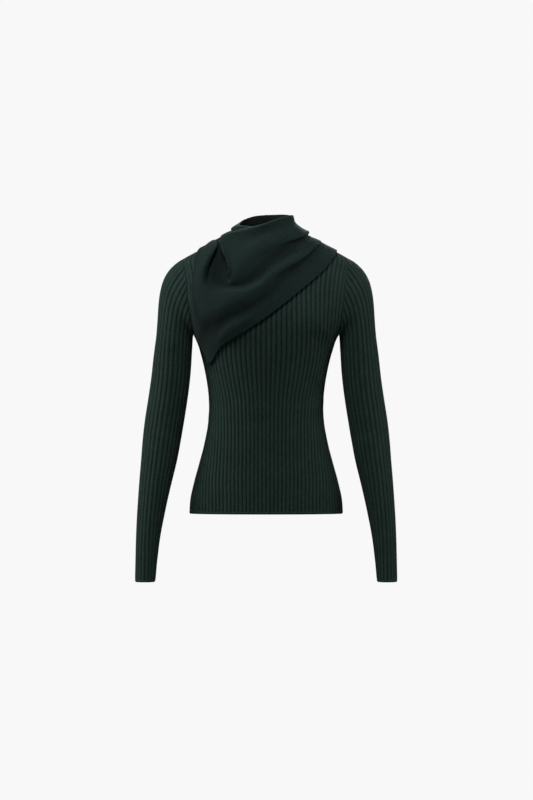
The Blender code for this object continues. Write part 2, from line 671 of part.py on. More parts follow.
def scarf():
    """The draped scarf collar: a closed ring of sections with a flap, two swags and a pointed hem."""
    lines = []
    for name, least, more in STAND_OFF:
        places = []
        for row in SCARF:
            side, fullness, place = row[0], row[1], row[SCARF_COLUMNS.index(name)]
            places.append(stand_point(side, place, least + more * fullness))
        lines.append(curve_through(places, [SCARF_SPAN_STEPS] * len(places), closed=True))
    sections = [curve_through([line[k] for line in lines], SCARF_LINE_STEPS, closed=False)
                for k in range(len(lines[0]))]
    grid = np.array(sections).transpose(1, 0, 2)
    for _ in range(4):
        short = np.maximum(SCARF_LEAST - distance(grid), 0)
        grid += unit(gradient(grid)) * short[..., None]
    along = np.roll(grid, -1, axis=1) - np.roll(grid, 1, axis=1)
    down = np.gradient(grid, axis=0)
    way = unit(np.cross(along, down))
    outward = grid - np.array([0.0, 0.0, -0.10])
    way *= np.sign((way * outward).sum(axis=-1, keepdims=True).mean(axis=(0, 1), keepdims=True))
    return ring_wall("scarf", grid, grid - way * PLAIN_WALL)


def main():
    for thing in list(bpy.data.objects):
        bpy.data.objects.remove(thing, do_unlink=True)
    front_rows = body_panel("front", FRONT)
    back_rows = body_panel("back", BACK)
    for name, sign in (("sleeve_left", 1), ("sleeve_right", -1)):
        sleeve(name, armhole_line(front_rows, back_rows, sign), sign)
    neckband(front_rows, back_rows)
    scarf()


main()
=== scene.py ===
"""Dark green rib-knit top with a draped scarf collar, in the shape it has when worn."""

import logging
import math
from collections.abc import Callable
from dataclasses import dataclass, field
from enum import Enum

import bpy
import numpy as np
from bpy.types import Material, Mesh, Node, NodeSocket, NodeTree, Object
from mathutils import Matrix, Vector


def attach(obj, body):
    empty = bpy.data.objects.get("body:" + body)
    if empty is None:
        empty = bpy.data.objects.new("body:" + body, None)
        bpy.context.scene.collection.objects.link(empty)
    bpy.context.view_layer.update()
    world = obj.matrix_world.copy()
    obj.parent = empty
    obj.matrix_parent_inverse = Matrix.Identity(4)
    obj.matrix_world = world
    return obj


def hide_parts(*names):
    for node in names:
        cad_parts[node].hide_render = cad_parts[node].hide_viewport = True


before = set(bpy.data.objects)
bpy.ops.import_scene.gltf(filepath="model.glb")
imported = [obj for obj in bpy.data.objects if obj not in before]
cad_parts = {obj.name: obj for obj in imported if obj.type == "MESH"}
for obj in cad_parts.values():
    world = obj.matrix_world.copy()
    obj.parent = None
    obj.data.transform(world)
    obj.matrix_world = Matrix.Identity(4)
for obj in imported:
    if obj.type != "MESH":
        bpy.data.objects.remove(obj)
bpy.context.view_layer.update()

Array = np.ndarray
Face = tuple[int, ...]
Rows = tuple[tuple[float, ...], ...]

# The way up, and what leaves only the level part of a vector.
UP = np.array([0.0, 0.0, 1.0])
LEVEL = np.array([1.0, 1.0, 0.0])
# What a length is never divided by less than, and what two places or rib numbers differ by at least.
TINY = 1e-12
SAME = 1e-6

LOG = logging.getLogger("knit_top")


class Side(Enum):
    """Which way a place on the figure faces."""

    FRONT = -1
    RIDGE = 0
    BACK = 1


class Arm(Enum):
    """Which of the two sleeves, by the sign of its X."""

    LEFT = 1
    RIGHT = -1


@dataclass(frozen=True)
class Table:
    """Rows of numbers under named columns, read as smooth curves over the first column."""

    names: tuple[str, ...]
    rows: Rows

    def column(self, name: str) -> Array:
        """One column as an array."""
        return np.array([row[self.names.index(name)] for row in self.rows], float)

    def read(self, name: str, at: Array | float) -> Array:
        """Reads a column as a smooth curve.

        Args:
            name: The column.
            at: Places on the first column. Places past its ends take the end value.

        Returns:
            One value for each place.
        """
        keys, values = self.column(self.names[0]), self.column(name)
        slopes = np.gradient(values, keys)
        at = np.clip(np.asarray(at, float), keys[0], keys[-1])
        i = np.clip(np.searchsorted(keys, at, side="right") - 1, 0, len(keys) - 2)
        span = keys[i + 1] - keys[i]
        t = (at - keys[i]) / span
        return ((1 + 2 * t) * (1 - t) ** 2 * values[i] + t * (1 - t) ** 2 * span * slopes[i]
                + t * t * (3 - 2 * t) * values[i + 1] + t * t * (t - 1) * span * slopes[i + 1])


def unit(vectors: Array) -> Array:
    """The same vectors at length 1."""
    return vectors / np.maximum(np.linalg.norm(vectors, axis=-1, keepdims=True), TINY)


def highest(is_below: Callable[[Array], Array], low: Array, high: Array, halvings: int = 26) -> Array:
    """Finds, place by place, the greatest value that still passes a test.

    Args:
        is_below: Takes an array of values and returns True where they pass.
        low: Values that pass.
        high: Values that don't.
        halvings: How many times the span between them is halved.

    Returns:
        The values where the test turns.
    """
    low, high = np.array(low, float), np.array(high, float)
    for _ in range(halvings):
        middle = (low + high) / 2
        good = is_below(middle)
        low, high = np.where(good, middle, low), np.where(good, high, middle)
    return low


def read_rows(values: Array, keys: Array, at: Array) -> Array:
    """Interpolates each row of values over its own rising keys.

    Args:
        values: Shape (n, m).
        keys: Shape (n, m), rising along each row.
        at: Shape (n,).

    Returns:
        Shape (n,).
    """
    n, m = keys.shape
    i = np.clip((keys < at[:, None]).sum(axis=1) - 1, 0, m - 2)
    line = np.arange(n)
    first, second = keys[line, i], keys[line, i + 1]
    t = np.clip((at - first) / np.maximum(second - first, TINY), 0, 1)
    return values[line, i] * (1 - t) + values[line, i + 1] * t


def centripetal(points: list[Array], steps: list[int], closed: bool) -> Array:
    """Draws centripetal curves through rows of points, all the rows at once.

    Args:
        points: Places of shape (..., 3), one for each knot.
        steps: How many pieces each span is cut into.
        closed: Whether the last knot leads back to the first.

    Returns:
        Points of shape (count, ..., 3).
    """
    knots = [np.asarray(p, float) for p in points]
    count = len(knots)
    if not closed:
        knots = [2 * knots[0] - knots[1], *knots, 2 * knots[-1] - knots[-2]]
    made = []
    for k in range(count if closed else count - 1):
        p = [knots[(k + d) % count] for d in (-1, 0, 1, 2)] if closed else knots[k:k + 4]
        t = [np.zeros(p[0].shape[:-1] + (1,))]
        for a, b in zip(p, p[1:]):
            length = np.linalg.norm(b - a, axis=-1, keepdims=True)
            t.append(t[-1] + np.maximum(length, SAME) ** 0.5)
        for step in range(steps[k]):
            at = t[1] + (t[2] - t[1]) * step / steps[k]
            lines = [((t[j + 1] - at) * p[j] + (at - t[j]) * p[j + 1]) / (t[j + 1] - t[j]) for j in range(3)]
            arcs = [((t[j + 2] - at) * lines[j] + (at - t[j]) * lines[j + 1]) / (t[j + 2] - t[j])
                    for j in range(2)]
            made.append(((t[2] - at) * arcs[0] + (at - t[1]) * arcs[1]) / (t[2] - t[1]))
    if not closed:
        made.append(knots[-2])
    return np.array(made)


@dataclass(frozen=True)
class Crease:
    """A soft ridge (or trough, where its height is below 0) laid on the cloth.

    Its place and direction are in the plane seen from the front, in metres and degrees. It bends
    a little, and fades out where the figure turns to its other side.
    """

    side: Side
    x: float
    z: float
    angle: float
    half_length: float
    half_width: float
    height: float
    bend: float = 0.18
    side_fade: float = 0.006

    def lift(self, points: Array) -> Array:
        """How far the crease lifts the cloth off its form.

        Args:
            points: Places of shape (..., 3).

        Returns:
            The lift at each place.
        """
        turn = math.radians(self.angle)
        off_x, off_z = points[..., 0] - self.x, points[..., 2] - self.z
        along = off_x * math.cos(turn) + off_z * math.sin(turn)
        across = -off_x * math.sin(turn) + off_z * math.cos(turn)
        across = across - self.bend * along ** 2 / self.half_length
        facing = 1 / (1 + np.exp(-points[..., 1] * self.side.value / self.side_fade))
        swell = np.exp(-(along / self.half_length) ** 2 - (across / self.half_width) ** 2)
        return self.height * facing * swell

    def mirrored(self, up: float = 0.006, turn: float = 176, share: float = 0.9) -> "Crease":
        """The same crease on the other arm, a little apart so that the two differ.

        Args:
            up: How much higher it lies.
            turn: The sum of both angles, in degrees.
            share: How long and high it is beside the first.

        Returns:
            The other crease.
        """
        return Crease(self.side, -self.x, self.z + up, turn - self.angle, self.half_length * share,
                      self.half_width, self.height * share)


@dataclass(frozen=True)
class Figure:
    """The general figure that fills the body of the top, in level slices from hem to neck."""

    form: Table = Table(
        ("height", "half_width", "front_depth", "back_depth", "rib_pitch"),
        (
            (-0.557, 0.1540, 0.080, 0.100, 0.0078),
            (-0.530, 0.1520, 0.080, 0.100, 0.0078),
            (-0.490, 0.1433, 0.080, 0.098, 0.0079),
            (-0.450, 0.1322, 0.080, 0.093, 0.0078),
            (-0.410, 0.1222, 0.082, 0.088, 0.0078),
            (-0.370, 0.1156, 0.084, 0.084, 0.0079),
            (-0.350, 0.1143, 0.086, 0.082, 0.0080),
            (-0.330, 0.1148, 0.088, 0.082, 0.0082),
            (-0.300, 0.1177, 0.093, 0.084, 0.0089),
            (-0.270, 0.1232, 0.100, 0.086, 0.0096),
            (-0.240, 0.1303, 0.107, 0.089, 0.0101),
            (-0.210, 0.1401, 0.113, 0.092, 0.0102),
            (-0.180, 0.1580, 0.116, 0.095, 0.0101),
            (-0.150, 0.1700, 0.114, 0.098, 0.0100),
            (-0.120, 0.1780, 0.107, 0.100, 0.0099),
            (-0.090, 0.1820, 0.096, 0.098, 0.0100),
            (-0.070, 0.1810, 0.086, 0.092, 0.0102),
            (-0.054, 0.1780, 0.076, 0.084, 0.0104),
            (-0.046, 0.1630, 0.071, 0.079, 0.0105),
            (-0.034, 0.1406, 0.064, 0.071, 0.0106),
            (-0.020, 0.1130, 0.058, 0.062, 0.0106),
            (-0.010, 0.0940, 0.055, 0.056, 0.0106),
            (0.000, 0.0760, 0.053, 0.052, 0.0106),
            (0.008, 0.0620, 0.051, 0.050, 0.0106),
            (0.020, 0.0535, 0.049, 0.048, 0.0106),
            (0.050, 0.0480, 0.047, 0.046, 0.0106),
        ),
    )
    squareness: float = 2.2
    bust_share: float = 0.05
    bust_x: float = 0.072
    bust_z: float = -0.172
    bust_wide: float = 0.044
    bust_high: float = 0.050
    # How finely a slice is cut, and the step and the least slope that distances are worked out with.
    samples: int = 161
    step: float = 0.0004
    least_slope: float = 1e-9

    def bust(self, x: Array, z: Array) -> Array:
        """The share by which the bust deepens the front.

        Args:
            x: Places across.
            z: Their heights.

        Returns:
            The share at each place.
        """
        across = (np.abs(x) - self.bust_x) / self.bust_wide
        up = (z - self.bust_z) / self.bust_high
        return self.bust_share * np.exp(-across ** 2 - up ** 2)

    def fill(self, p: Array) -> Array:
        """How far out of the middle of the figure points lie.

        Args:
            p: Points of shape (..., 3).

        Returns:
            Below 1 inside the figure, 1 on its surface and above 1 outside.
        """
        x, y, z = p[..., 0], p[..., 1], p[..., 2]
        front = self.form.read("front_depth", z) * (1 + self.bust(x, z))
        depth = np.where(y < 0, front, self.form.read("back_depth", z))
        power = self.squareness
        total = (np.abs(x) / self.form.read("half_width", z)) ** power + (np.abs(y) / depth) ** power
        return total ** (1 / power)

    def gradient(self, p: Array) -> Array:
        """How fast fill() changes along x, y and z."""
        ways = np.eye(3) * self.step
        return np.stack([(self.fill(p + way) - self.fill(p - way)) / (2 * self.step) for way in ways], -1)

    def distance(self, p: Array) -> Array:
        """Nearly the distance of points from the surface."""
        return (self.fill(p) - 1) / np.maximum(np.linalg.norm(self.gradient(p), axis=-1), self.least_slope)

    def slices(self, side: Side, z: Array) -> tuple[Array, Array, Array]:
        """Cuts a quarter slice at each height, from the centre line to the side.

        Args:
            side: Front or back.
            z: Heights of shape (n,).

        Returns:
            x, depth and running length, each of shape (n, samples).
        """
        turn = np.linspace(0, math.pi / 2, self.samples)
        width = self.form.read("half_width", z)[:, None]
        x = width * np.sin(turn) ** (2 / self.squareness)
        name = "front_depth" if side is Side.FRONT else "back_depth"
        y = self.form.read(name, z)[:, None] * np.cos(turn) ** (2 / self.squareness)
        if side is Side.FRONT:
            y = y * (1 + self.bust(x, z[:, None]))
        steps = np.hypot(np.diff(x), np.diff(y))
        return x, y, np.concatenate([np.zeros((len(z), 1)), np.cumsum(steps, axis=1)], axis=1)

    def place(self, side: Side, ribs: Array, z: Array, gap: float) -> Array:
        """Puts ribs on the figure, each at its own height.

        Args:
            side: Front or back.
            ribs: Rib numbers, counted from the centre line.
            z: Their heights.
            gap: The gap at the side seam, half of it on this side.

        Returns:
            Their places, of shape (n, 3).
        """
        x, y, length = self.slices(side, z)
        along = np.minimum(np.abs(ribs) * self.form.read("rib_pitch", z), length[:, -1])
        depth = np.maximum(read_rows(y, length, along), gap / 2)
        return np.stack([np.copysign(read_rows(x, length, along), ribs), side.value * depth, z], -1)

    def seam_rib(self, side: Side, z: Array) -> Array:
        """The rib number at the side or shoulder seam."""
        return self.slices(side, z)[2][:, -1] / self.form.read("rib_pitch", z)

    def rib_at(self, side: Side, across: Array, z: Array) -> Array:
        """The rib number at a distance across from the centre line."""
        x, _, length = self.slices(side, z)
        return read_rows(length, x, np.minimum(across, x[:, -1])) / self.form.read("rib_pitch", z)


@dataclass(frozen=True)
class RibStitch:
    """The section of the rib: a broad rounded crest and a narrow valley, and how it ends at seams."""

    drop: float = 0.0018
    valley_share: float = 0.17
    crest_round: float = 0.10
    columns: int = 8
    wall: float = 0.0011
    seam_dip: float = 0.0005
    seam_reach: float = 0.0024
    armhole_reach: float = 0.0062
    # The share of a rib that stays free of columns beside a seam.
    edge_clear: float = 0.06

    def relief(self, ribs: Array, strength: float) -> Array:
        """How far the outside lies below the crests, with valleys at whole rib numbers.

        Args:
            ribs: Rib numbers.
            strength: How deep the ribs are, from 0 to 1.

        Returns:
            The depth at each rib number.
        """
        off = np.abs(ribs - np.round(ribs))
        groove = np.exp(-(off / self.valley_share) ** 2) + self.crest_round * (1 - 2 * off) ** 2
        return self.drop * strength * groove / (1 + self.crest_round)

    def numbers(self, edge: float) -> Array:
        """Rib numbers across a row that ends at a seam on each side."""
        last = math.floor((edge - self.edge_clear) * self.columns)
        return np.concatenate([[-edge], np.arange(-last, last + 1) / self.columns, [edge]])


@dataclass
class KnitRow:
    """One row of a panel: the rib numbers, the places on its form, the ways out and the run up."""

    ribs: Array
    points: Array
    ways: Array
    pitch: float
    run: float
    strength: float = 1.0
    lift: float = 0.0
    reach: float = 0.0024


def sew_rows(first: list[int], second: list[int], keys: tuple[Array, Array]) -> list[Face]:
    """Fills the strip between two rows of vertices, with squares where their columns agree.

    Args:
        first: Vertices of the lower row.
        second: Vertices of the upper row.
        keys: Rising rib numbers of both rows.

    Returns:
        Faces as tuples of vertices.
    """
    faces, i, j = [], 0, 0
    low, high = keys
    while i < len(first) - 1 or j < len(second) - 1:
        ahead_low = low[i + 1] if i < len(first) - 1 else math.inf
        ahead_high = high[j + 1] if j < len(second) - 1 else math.inf
        if abs(ahead_low - ahead_high) < SAME or (i == len(first) - 2 and j == len(second) - 2):
            faces.append((first[i], first[i + 1], second[j + 1], second[j]))
            i, j = i + 1, j + 1
        elif ahead_low <= ahead_high:
            faces.append((first[i], first[i + 1], second[j]))
            i += 1
        else:
            faces.append((first[i], second[j + 1], second[j]))
            j += 1
    return faces


def make_cloth(name: str, points: Array, faces: list[Face], maps: tuple[Array, Array], wall: float,
               turned: slice = slice(0, 0)) -> Object:
    """Makes a shell of cloth from its outer skin.

    Args:
        name: Name of the piece.
        points: Vertices of the outer skin.
        faces: Its faces, facing out.
        maps: For each vertex, its place along and up the cloth in metres, and its groove value: painted
        shade in a groove, along a seam or in a fold's trough, and below 0 a painted highlight on a turned
        edge.
        wall: Thickness, laid on the inside.
        turned: Which of the faces are turned in and show the reverse of the cloth.

    Returns:
        The piece, at the origin, with a UV map in metres, an attribute named groove that holds the painted
        shade and highlight, and the reverse of the cloth under its second material.
    """
    mesh: Mesh = bpy.data.meshes.new(name)
    mesh.from_pydata([tuple(p) for p in points], [], faces)
    corners = np.empty(len(mesh.loops), int)
    mesh.loops.foreach_get("vertex_index", corners)
    layer = mesh.uv_layers.new(name="cloth_metres")
    layer.data.foreach_set("uv", maps[0][corners].astype(np.float32).ravel())
    groove = mesh.attributes.new("groove", "FLOAT", "POINT")
    groove.data.foreach_set("value", maps[1].astype(np.float32))
    mesh.shade_smooth()
    piece = bpy.data.objects.new(name, mesh)
    bpy.context.scene.collection.objects.link(piece)
    solid = piece.modifiers.new("wall", "SOLIDIFY")
    solid.thickness = wall
    solid.offset = -1.0
    solid.use_even_offset = False
    bpy.ops.object.select_all(action="DESELECT")
    piece.select_set(True)
    bpy.context.view_layer.objects.active = piece
    bpy.ops.object.modifier_apply(modifier=solid.name)
    shaded_reverse = np.zeros(len(piece.data.polygons), np.int32)
    shaded_reverse[turned] = 1
    shaded_reverse[len(faces):2 * len(faces)] = 1
    piece.data.polygons.foreach_set("material_index", shaded_reverse)
    return piece


@dataclass
class RibPanel:
    """A panel of rib knit built row by row, with ribs that run out at its seams.

    The stitches are mapped as if every rib were of one width.
    """

    name: str
    stitch: RibStitch
    creases: tuple[Crease, ...]
    rows: list[KnitRow]
    rib_width: float = 0.009
    seam_shade: float = 0.3

    def knit(self, flipped: bool) -> Object:
        """Makes the panel's shell from its rows.

        Args:
            flipped: Whether rib numbers rise the other way round the figure.

        Returns:
            The piece.
        """
        points, uvs, grooves, faces, lines = [], [], [], [], []
        start = 0
        for row in self.rows:
            edge = row.ribs[-1]
            to_seam = (edge - np.abs(row.ribs)) * row.pitch
            seam = np.exp(-(to_seam / self.stitch.seam_reach) ** 2)
            faded = np.exp(-(to_seam / row.reach) ** 4)
            relief = self.stitch.relief(row.ribs, row.strength) * (1 - faded)
            lift = row.lift - relief - self.stitch.seam_dip * seam
            for crease in self.creases:
                lift = lift + crease.lift(row.points) * (1 - seam)
            points.append(row.points + row.ways * lift[:, None])
            uvs.append(np.stack([row.ribs * self.rib_width, np.full(len(row.ribs), row.run)], -1))
            # Painted shade: darker in the rib valleys and along the seams.
            grooves.append(np.clip(relief / self.stitch.drop + self.seam_shade * seam, 0, 1))
            lines.append(list(range(start, start + len(row.ribs))))
            start += len(row.ribs)
        for low, high, first, second in zip(self.rows, self.rows[1:], lines, lines[1:]):
            faces += sew_rows(first, second, (low.ribs, high.ribs))
        if flipped:
            faces = [face[::-1] for face in faces]
        maps = (np.concatenate(uvs), np.concatenate(grooves))
        return make_cloth(self.name, np.concatenate(points), faces, maps, self.stitch.wall)


# Heights above the edge of a hem or cuff, and how far the cloth stands out there: the turned edge
# leans in, its top is a thin raised line, and the ribs start above that.
HEM = Table(
    ("above", "lift", "rib_strength"),
    (
        (0.0000, -0.0016, 0.05),
        (0.0008, -0.0010, 0.08),
        (0.0018, -0.0006, 0.12),
        (0.0028, -0.0001, 0.16),
        (0.0036, 0.0002, 0.22),
        (0.0044, -0.0002, 0.40),
        (0.0054, -0.0003, 0.75),
        (0.0080, 0.0000, 1.00),
        (0.0120, 0.0000, 1.00),
    ),
)


def row_heights(low: float, high: float, step: float) -> list[float]:
    """Heights of rows of knitting, close together at the turned edge.

    Args:
        low: The edge.
        high: The last row.
        step: From row to row above the edge.

    Returns:
        The heights, rising.
    """
    heights = list(low + HEM.column("above"))
    return heights + list(np.arange(heights[-1] + step, high - step / 2, step)) + [high]


def edge_row(ribs: Array, points: Array, ways: Array, pitch: float, above: float) -> KnitRow:
    """A row whose ribs and stand depend on its height above the turned edge."""
    return KnitRow(ribs, points, ways, pitch, above,
                   float(HEM.read("rib_strength", above)), float(HEM.read("lift", above)))


@dataclass
class BodyPanel:
    """The front or the back: rib knit from the hem to the armholes, shoulders and neckline."""

    side: Side
    figure: Figure
    stitch: RibStitch
    creases: tuple[Crease, ...]
    seam_gap: float = 0.0003
    hem_z: float = -0.557
    underarm_z: float = -0.201
    shoulder_tip_z: float = -0.047
    armhole_hub_z: float = -0.124
    neck_half: float = 0.066
    neck_side_z: float = 0.005
    neck_front_z: float = -0.020
    neck_back_z: float = -0.002
    # Where the shoulder seam and the neckline are looked for, and at which ribs.
    tops_between: tuple[float, float] = (-0.110, 0.010)
    rib_numbers: tuple[float, float, float] = (0.0, 22.01, 0.25)
    row_step: float = 0.0065
    chest_rows: int = 34
    # The chest rows lie a little closer higher up. The ribs run out over a longer way at the armhole,
    # which is reached after one in so many of these rows.
    row_crowding: float = 0.9
    reach_growth: int = 4
    armhole: Table = Table(
        ("height", "half_across"),
        (
            (-0.201, 0.1445),
            (-0.190, 0.1455),
            (-0.170, 0.1490),
            (-0.150, 0.1520),
            (-0.120, 0.1550),
            (-0.085, 0.1580),
            (-0.062, 0.1625),
            (-0.047, 0.1649),
        ),
    )
    rows: list[KnitRow] = field(default_factory=list)
    first_chest_row: int = 0

    def neckline_z(self, x: Array) -> Array:
        """The height of the neckline.

        Args:
            x: Places across.

        Returns:
            The height at each, without end past the neckline's sides.
        """
        middle = self.neck_front_z if self.side is Side.FRONT else self.neck_back_z
        share = np.minimum(np.abs(x) / self.neck_half, 1.0)
        line = middle + (self.neck_side_z - middle) * share ** self.figure.squareness
        return np.where(share < 1, line, np.inf)

    def tops(self, ribs: Array) -> Array:
        """Finds where ribs meet the shoulder seam or the neckline.

        Args:
            ribs: Rib numbers, 0 or above.

        Returns:
            The height at which each ends.
        """
        def is_cloth(z: Array) -> Array:
            """Whether the ribs are still in the cloth at heights z."""
            x = self.figure.place(self.side, ribs, z, self.seam_gap)[:, 0]
            return (ribs < self.figure.seam_rib(self.side, z)) & (z < self.neckline_z(x))

        low, high = self.tops_between
        return highest(is_cloth, np.full(len(ribs), low), np.full(len(ribs), high))

    def hub_way(self, points: Array) -> Array:
        """The way out of the armhole's middle."""
        return unit(np.stack([np.zeros(len(points)), points[:, 1], points[:, 2] - self.armhole_hub_z], -1))

    def top_way(self, points: Array, at_neck: Array) -> Array:
        """The way out at the top edge.

        Args:
            points: Places on the edge.
            at_neck: Which of them lie on the neckline.

        Returns:
            Straight up along the shoulder seam, and leaning out to the band at the neck.
        """
        ways = unit(self.figure.gradient(points))
        flat = unit(np.stack([points[:, 0], points[:, 1], np.zeros(len(points))], -1))
        shoulder = ways * np.array([1.0, 0.0, 1.0])
        return np.where(at_neck[:, None], unit(ways + flat), unit(shoulder))

    def lay_rows(self) -> None:
        """Lays the rows from the hem up."""
        self.lay_level_rows()
        for end in (0, -1):
            self.rows[-1].ways[end] = self.hub_way(self.rows[-1].points[[end]])[0]
        self.first_chest_row = len(self.rows) - 1
        self.lay_chest_rows()

    def lay_level_rows(self) -> None:
        """Lays the level rows from the hem to the underarm."""
        for z in row_heights(self.hem_z, self.underarm_z, self.row_step):
            pitch = float(self.figure.form.read("rib_pitch", z))
            edge = float(self.figure.seam_rib(self.side, np.array([z]))[0]) - self.seam_gap / 2 / pitch
            ribs = self.stitch.numbers(edge)
            points = self.figure.place(self.side, ribs, np.full(len(ribs), z), self.seam_gap)
            ways = unit(self.figure.gradient(points))
            ways[0], ways[-1] = (-1, 0, 0), (1, 0, 0)
            self.rows.append(edge_row(ribs, points, ways, pitch, z - self.hem_z))

    def lay_chest_rows(self) -> None:
        """Lays the rows over the chest, which bend up until the last follows the shoulders and neckline."""
        numbers = np.arange(*self.rib_numbers)
        tops = self.tops(numbers)
        for k in range(1, self.chest_rows + 1):
            share = (k / self.chest_rows) ** self.row_crowding

            def is_under(z: Array, part: float = share) -> Array:
                """Whether the armhole seam is under this row at height z."""
                rib = self.armhole_rib(z)
                return z < self.underarm_z + (np.interp(rib, numbers, tops) - self.underarm_z) * part

            if k < self.chest_rows:
                z = highest(is_under, np.array([self.underarm_z]), np.array([self.shoulder_tip_z]))
                edge = float(self.armhole_rib(z)[0])
            else:
                z = np.array([self.shoulder_tip_z])
                edge = float(self.figure.seam_rib(self.side, z)[0])
            pitch = float(self.figure.form.read("rib_pitch", z)[0])
            ribs = self.stitch.numbers(edge - self.seam_gap / 2 / pitch)
            heights = self.underarm_z + (np.interp(np.abs(ribs), numbers, tops) - self.underarm_z) * share
            heights[[0, -1]] = z[0]
            points = self.figure.place(self.side, ribs, heights, self.seam_gap)
            ways = unit(self.figure.gradient(points))
            if k == self.chest_rows:
                ways = self.top_way(points, np.abs(points[:, 0]) < self.neck_half)
            hub = self.hub_way(points)
            ways[0], ways[-1] = hub[0], hub[-1]
            row = KnitRow(ribs, points, ways, pitch, float(heights[len(ribs) // 2]) - self.hem_z)
            grown = min(1.0, self.reach_growth * k / self.chest_rows)
            row.reach += (self.stitch.armhole_reach - row.reach) * grown
            self.rows.append(row)

    def armhole_rib(self, z: Array) -> Array:
        """The rib number at the armhole seam."""
        return self.figure.rib_at(self.side, self.armhole.read("half_across", z), z)

    def armhole_seam(self, arm: Arm) -> tuple[Array, Array]:
        """The armhole seam of one side, from the shoulder tip down.

        Args:
            arm: Which armhole.

        Returns:
            The share of the way down, from 0 to 1, and the points.
        """
        end = -1 if arm is Arm.LEFT else 0
        points = np.array([row.points[end] for row in self.rows[self.first_chest_row:]])[::-1]
        run = np.concatenate([[0], np.cumsum(np.linalg.norm(np.diff(points, axis=0), axis=1))])
        return run / run[-1], points

    def build(self, name: str) -> Object:
        """Knits the panel and returns the piece."""
        panel = RibPanel(name, self.stitch, self.creases, self.rows)
        return panel.knit(flipped=self.side is Side.BACK)


@dataclass
class Sleeve:
    """A set-in sleeve: rib knit, rolled to a tube and closed by a seam on its inner side."""

    arm: Arm
    front: BodyPanel
    back: BodyPanel
    stitch: RibStitch
    creases: tuple[Crease, ...]
    seam_gap: float = 0.0003
    biceps_z: float = -0.204
    biceps_round: float = 0.26
    top_pull: float = 0.41
    arm_pull: float = 0.44
    # How the ribs leave the armhole seam: out by (at the underarm, and more at the shoulder), and down less.
    top_out: tuple[float, float] = (0.25, 0.65)
    top_flatter: float = 0.50
    arm_slant: float = 0.10
    # Where the ribs of the upper arm meet the armhole seam: they turn outward, as the arm hangs.
    cap_map: Table = Table(
        ("arm", "seam"),
        (
            (-1.00, -1.00),
            (-0.84, -0.83),
            (-0.67, -0.61),
            (-0.52, -0.43),
            (-0.37, -0.29),
            (-0.22, -0.18),
            (-0.07, -0.09),
            (0.04, -0.03),
            (0.18, 0.05),
            (0.36, 0.18),
            (0.55, 0.37),
            (0.76, 0.66),
            (1.00, 1.00),
        ),
    )
    row_step: float = 0.0068
    cap_rows: int = 26
    cap_height: float = 0.15
    cap_step: float = 0.006
    seam_fade: float = 0.9
    samples: int = 241
    sizes: Table = Table(
        ("height", "centre_x", "half_width", "centre_y", "half_depth", "rib_pitch"),
        (
            (-0.692, 0.2409, 0.0205, -0.036, 0.0295, 0.0079),
            (-0.650, 0.2385, 0.0221, -0.031, 0.0305, 0.0079),
            (-0.610, 0.2358, 0.0240, -0.026, 0.0320, 0.0080),
            (-0.570, 0.2315, 0.0269, -0.020, 0.0340, 0.0083),
            (-0.530, 0.2263, 0.0298, -0.014, 0.0365, 0.0087),
            (-0.490, 0.2202, 0.0332, -0.008, 0.0390, 0.0091),
            (-0.450, 0.2139, 0.0363, -0.003, 0.0405, 0.0095),
            (-0.410, 0.2087, 0.0385, 0.001, 0.0412, 0.0098),
            (-0.370, 0.2031, 0.0397, 0.004, 0.0415, 0.0100),
            (-0.330, 0.1969, 0.0397, 0.005, 0.0420, 0.0100),
            (-0.290, 0.1914, 0.0393, 0.005, 0.0432, 0.0100),
            (-0.240, 0.1866, 0.0384, 0.004, 0.0448, 0.0098),
            (-0.204, 0.1832, 0.0370, 0.002, 0.0460, 0.0096),
        ),
    )

    def ring(self, shares: Array, z: float) -> tuple[Array, Array, float]:
        """Places round the sleeve at one height.

        Args:
            shares: From -1 to 1, from the inner seam by the front, the outer line and the back.
            z: The height.

        Returns:
            The points, the ways out and half the length round.
        """
        size = {name: float(self.sizes.read(name, z)) for name in self.sizes.names[1:]}
        turn = np.linspace(0, math.pi, self.samples)
        x = size["half_width"] * np.cos(turn)
        y = size["half_depth"] * np.sin(turn)
        length = np.concatenate([[0], np.cumsum(np.hypot(np.diff(x), np.diff(y)))])
        off_x = np.interp(np.abs(shares) * length[-1], length, x)
        off_y = np.copysign(np.interp(np.abs(shares) * length[-1], length, y), shares)
        sign = self.arm.value
        level = np.full(len(shares), z)
        points = np.stack([sign * (size["centre_x"] + off_x), size["centre_y"] + off_y, level], -1)
        out_x, out_y = off_x / size["half_width"] ** 2, off_y / size["half_depth"] ** 2
        ways = unit(np.stack([sign * out_x, out_y, 0 * level], -1))
        return points, ways, length[-1]

    def cap(self, ribs: Array, edge: float, share: float, seam: tuple[Array, Array]) -> tuple[Array, Array]:
        """Places on a row between the upper arm and the armhole seam.

        Args:
            ribs: Rib numbers.
            edge: The rib number at the underarm.
            share: 0 at the upper arm and 1 at the armhole seam.
            seam: The seam's shares, from -1 at the front underarm to 1 at the back, and its points.

        Returns:
            The points and the ways out.
        """
        sign = self.arm.value
        part = ribs / edge
        crowded = self.cap_map.read("seam", part)
        top = np.stack([np.interp(crowded, seam[0], seam[1][:, k]) for k in range(3)], -1)
        top[:, 0] += sign * self.seam_gap
        foot, foot_ways, _ = self.ring(part * (1 - self.seam_gap / self.biceps_round), self.biceps_z)
        chord = np.linalg.norm(top - foot, axis=1, keepdims=True)
        lean = 1 - np.abs(crowded)
        least, more = self.top_out
        falls = 1 - self.top_flatter * lean ** 2
        start = unit(np.stack([sign * (least + more * lean ** 2), 0 * lean, -falls], -1))
        down = unit(np.array([sign * self.arm_slant, 0.0, -1.0]))
        first = top + start * chord * self.top_pull
        second = foot - down * chord * self.arm_pull
        t = 1 - share
        points = ((1 - t) ** 3 * top + 3 * (1 - t) ** 2 * t * first
                  + 3 * (1 - t) * t * t * second + t ** 3 * foot)
        top_ways = self.front.hub_way(top)
        return points, unit(foot_ways * (1 - share) + top_ways * share)

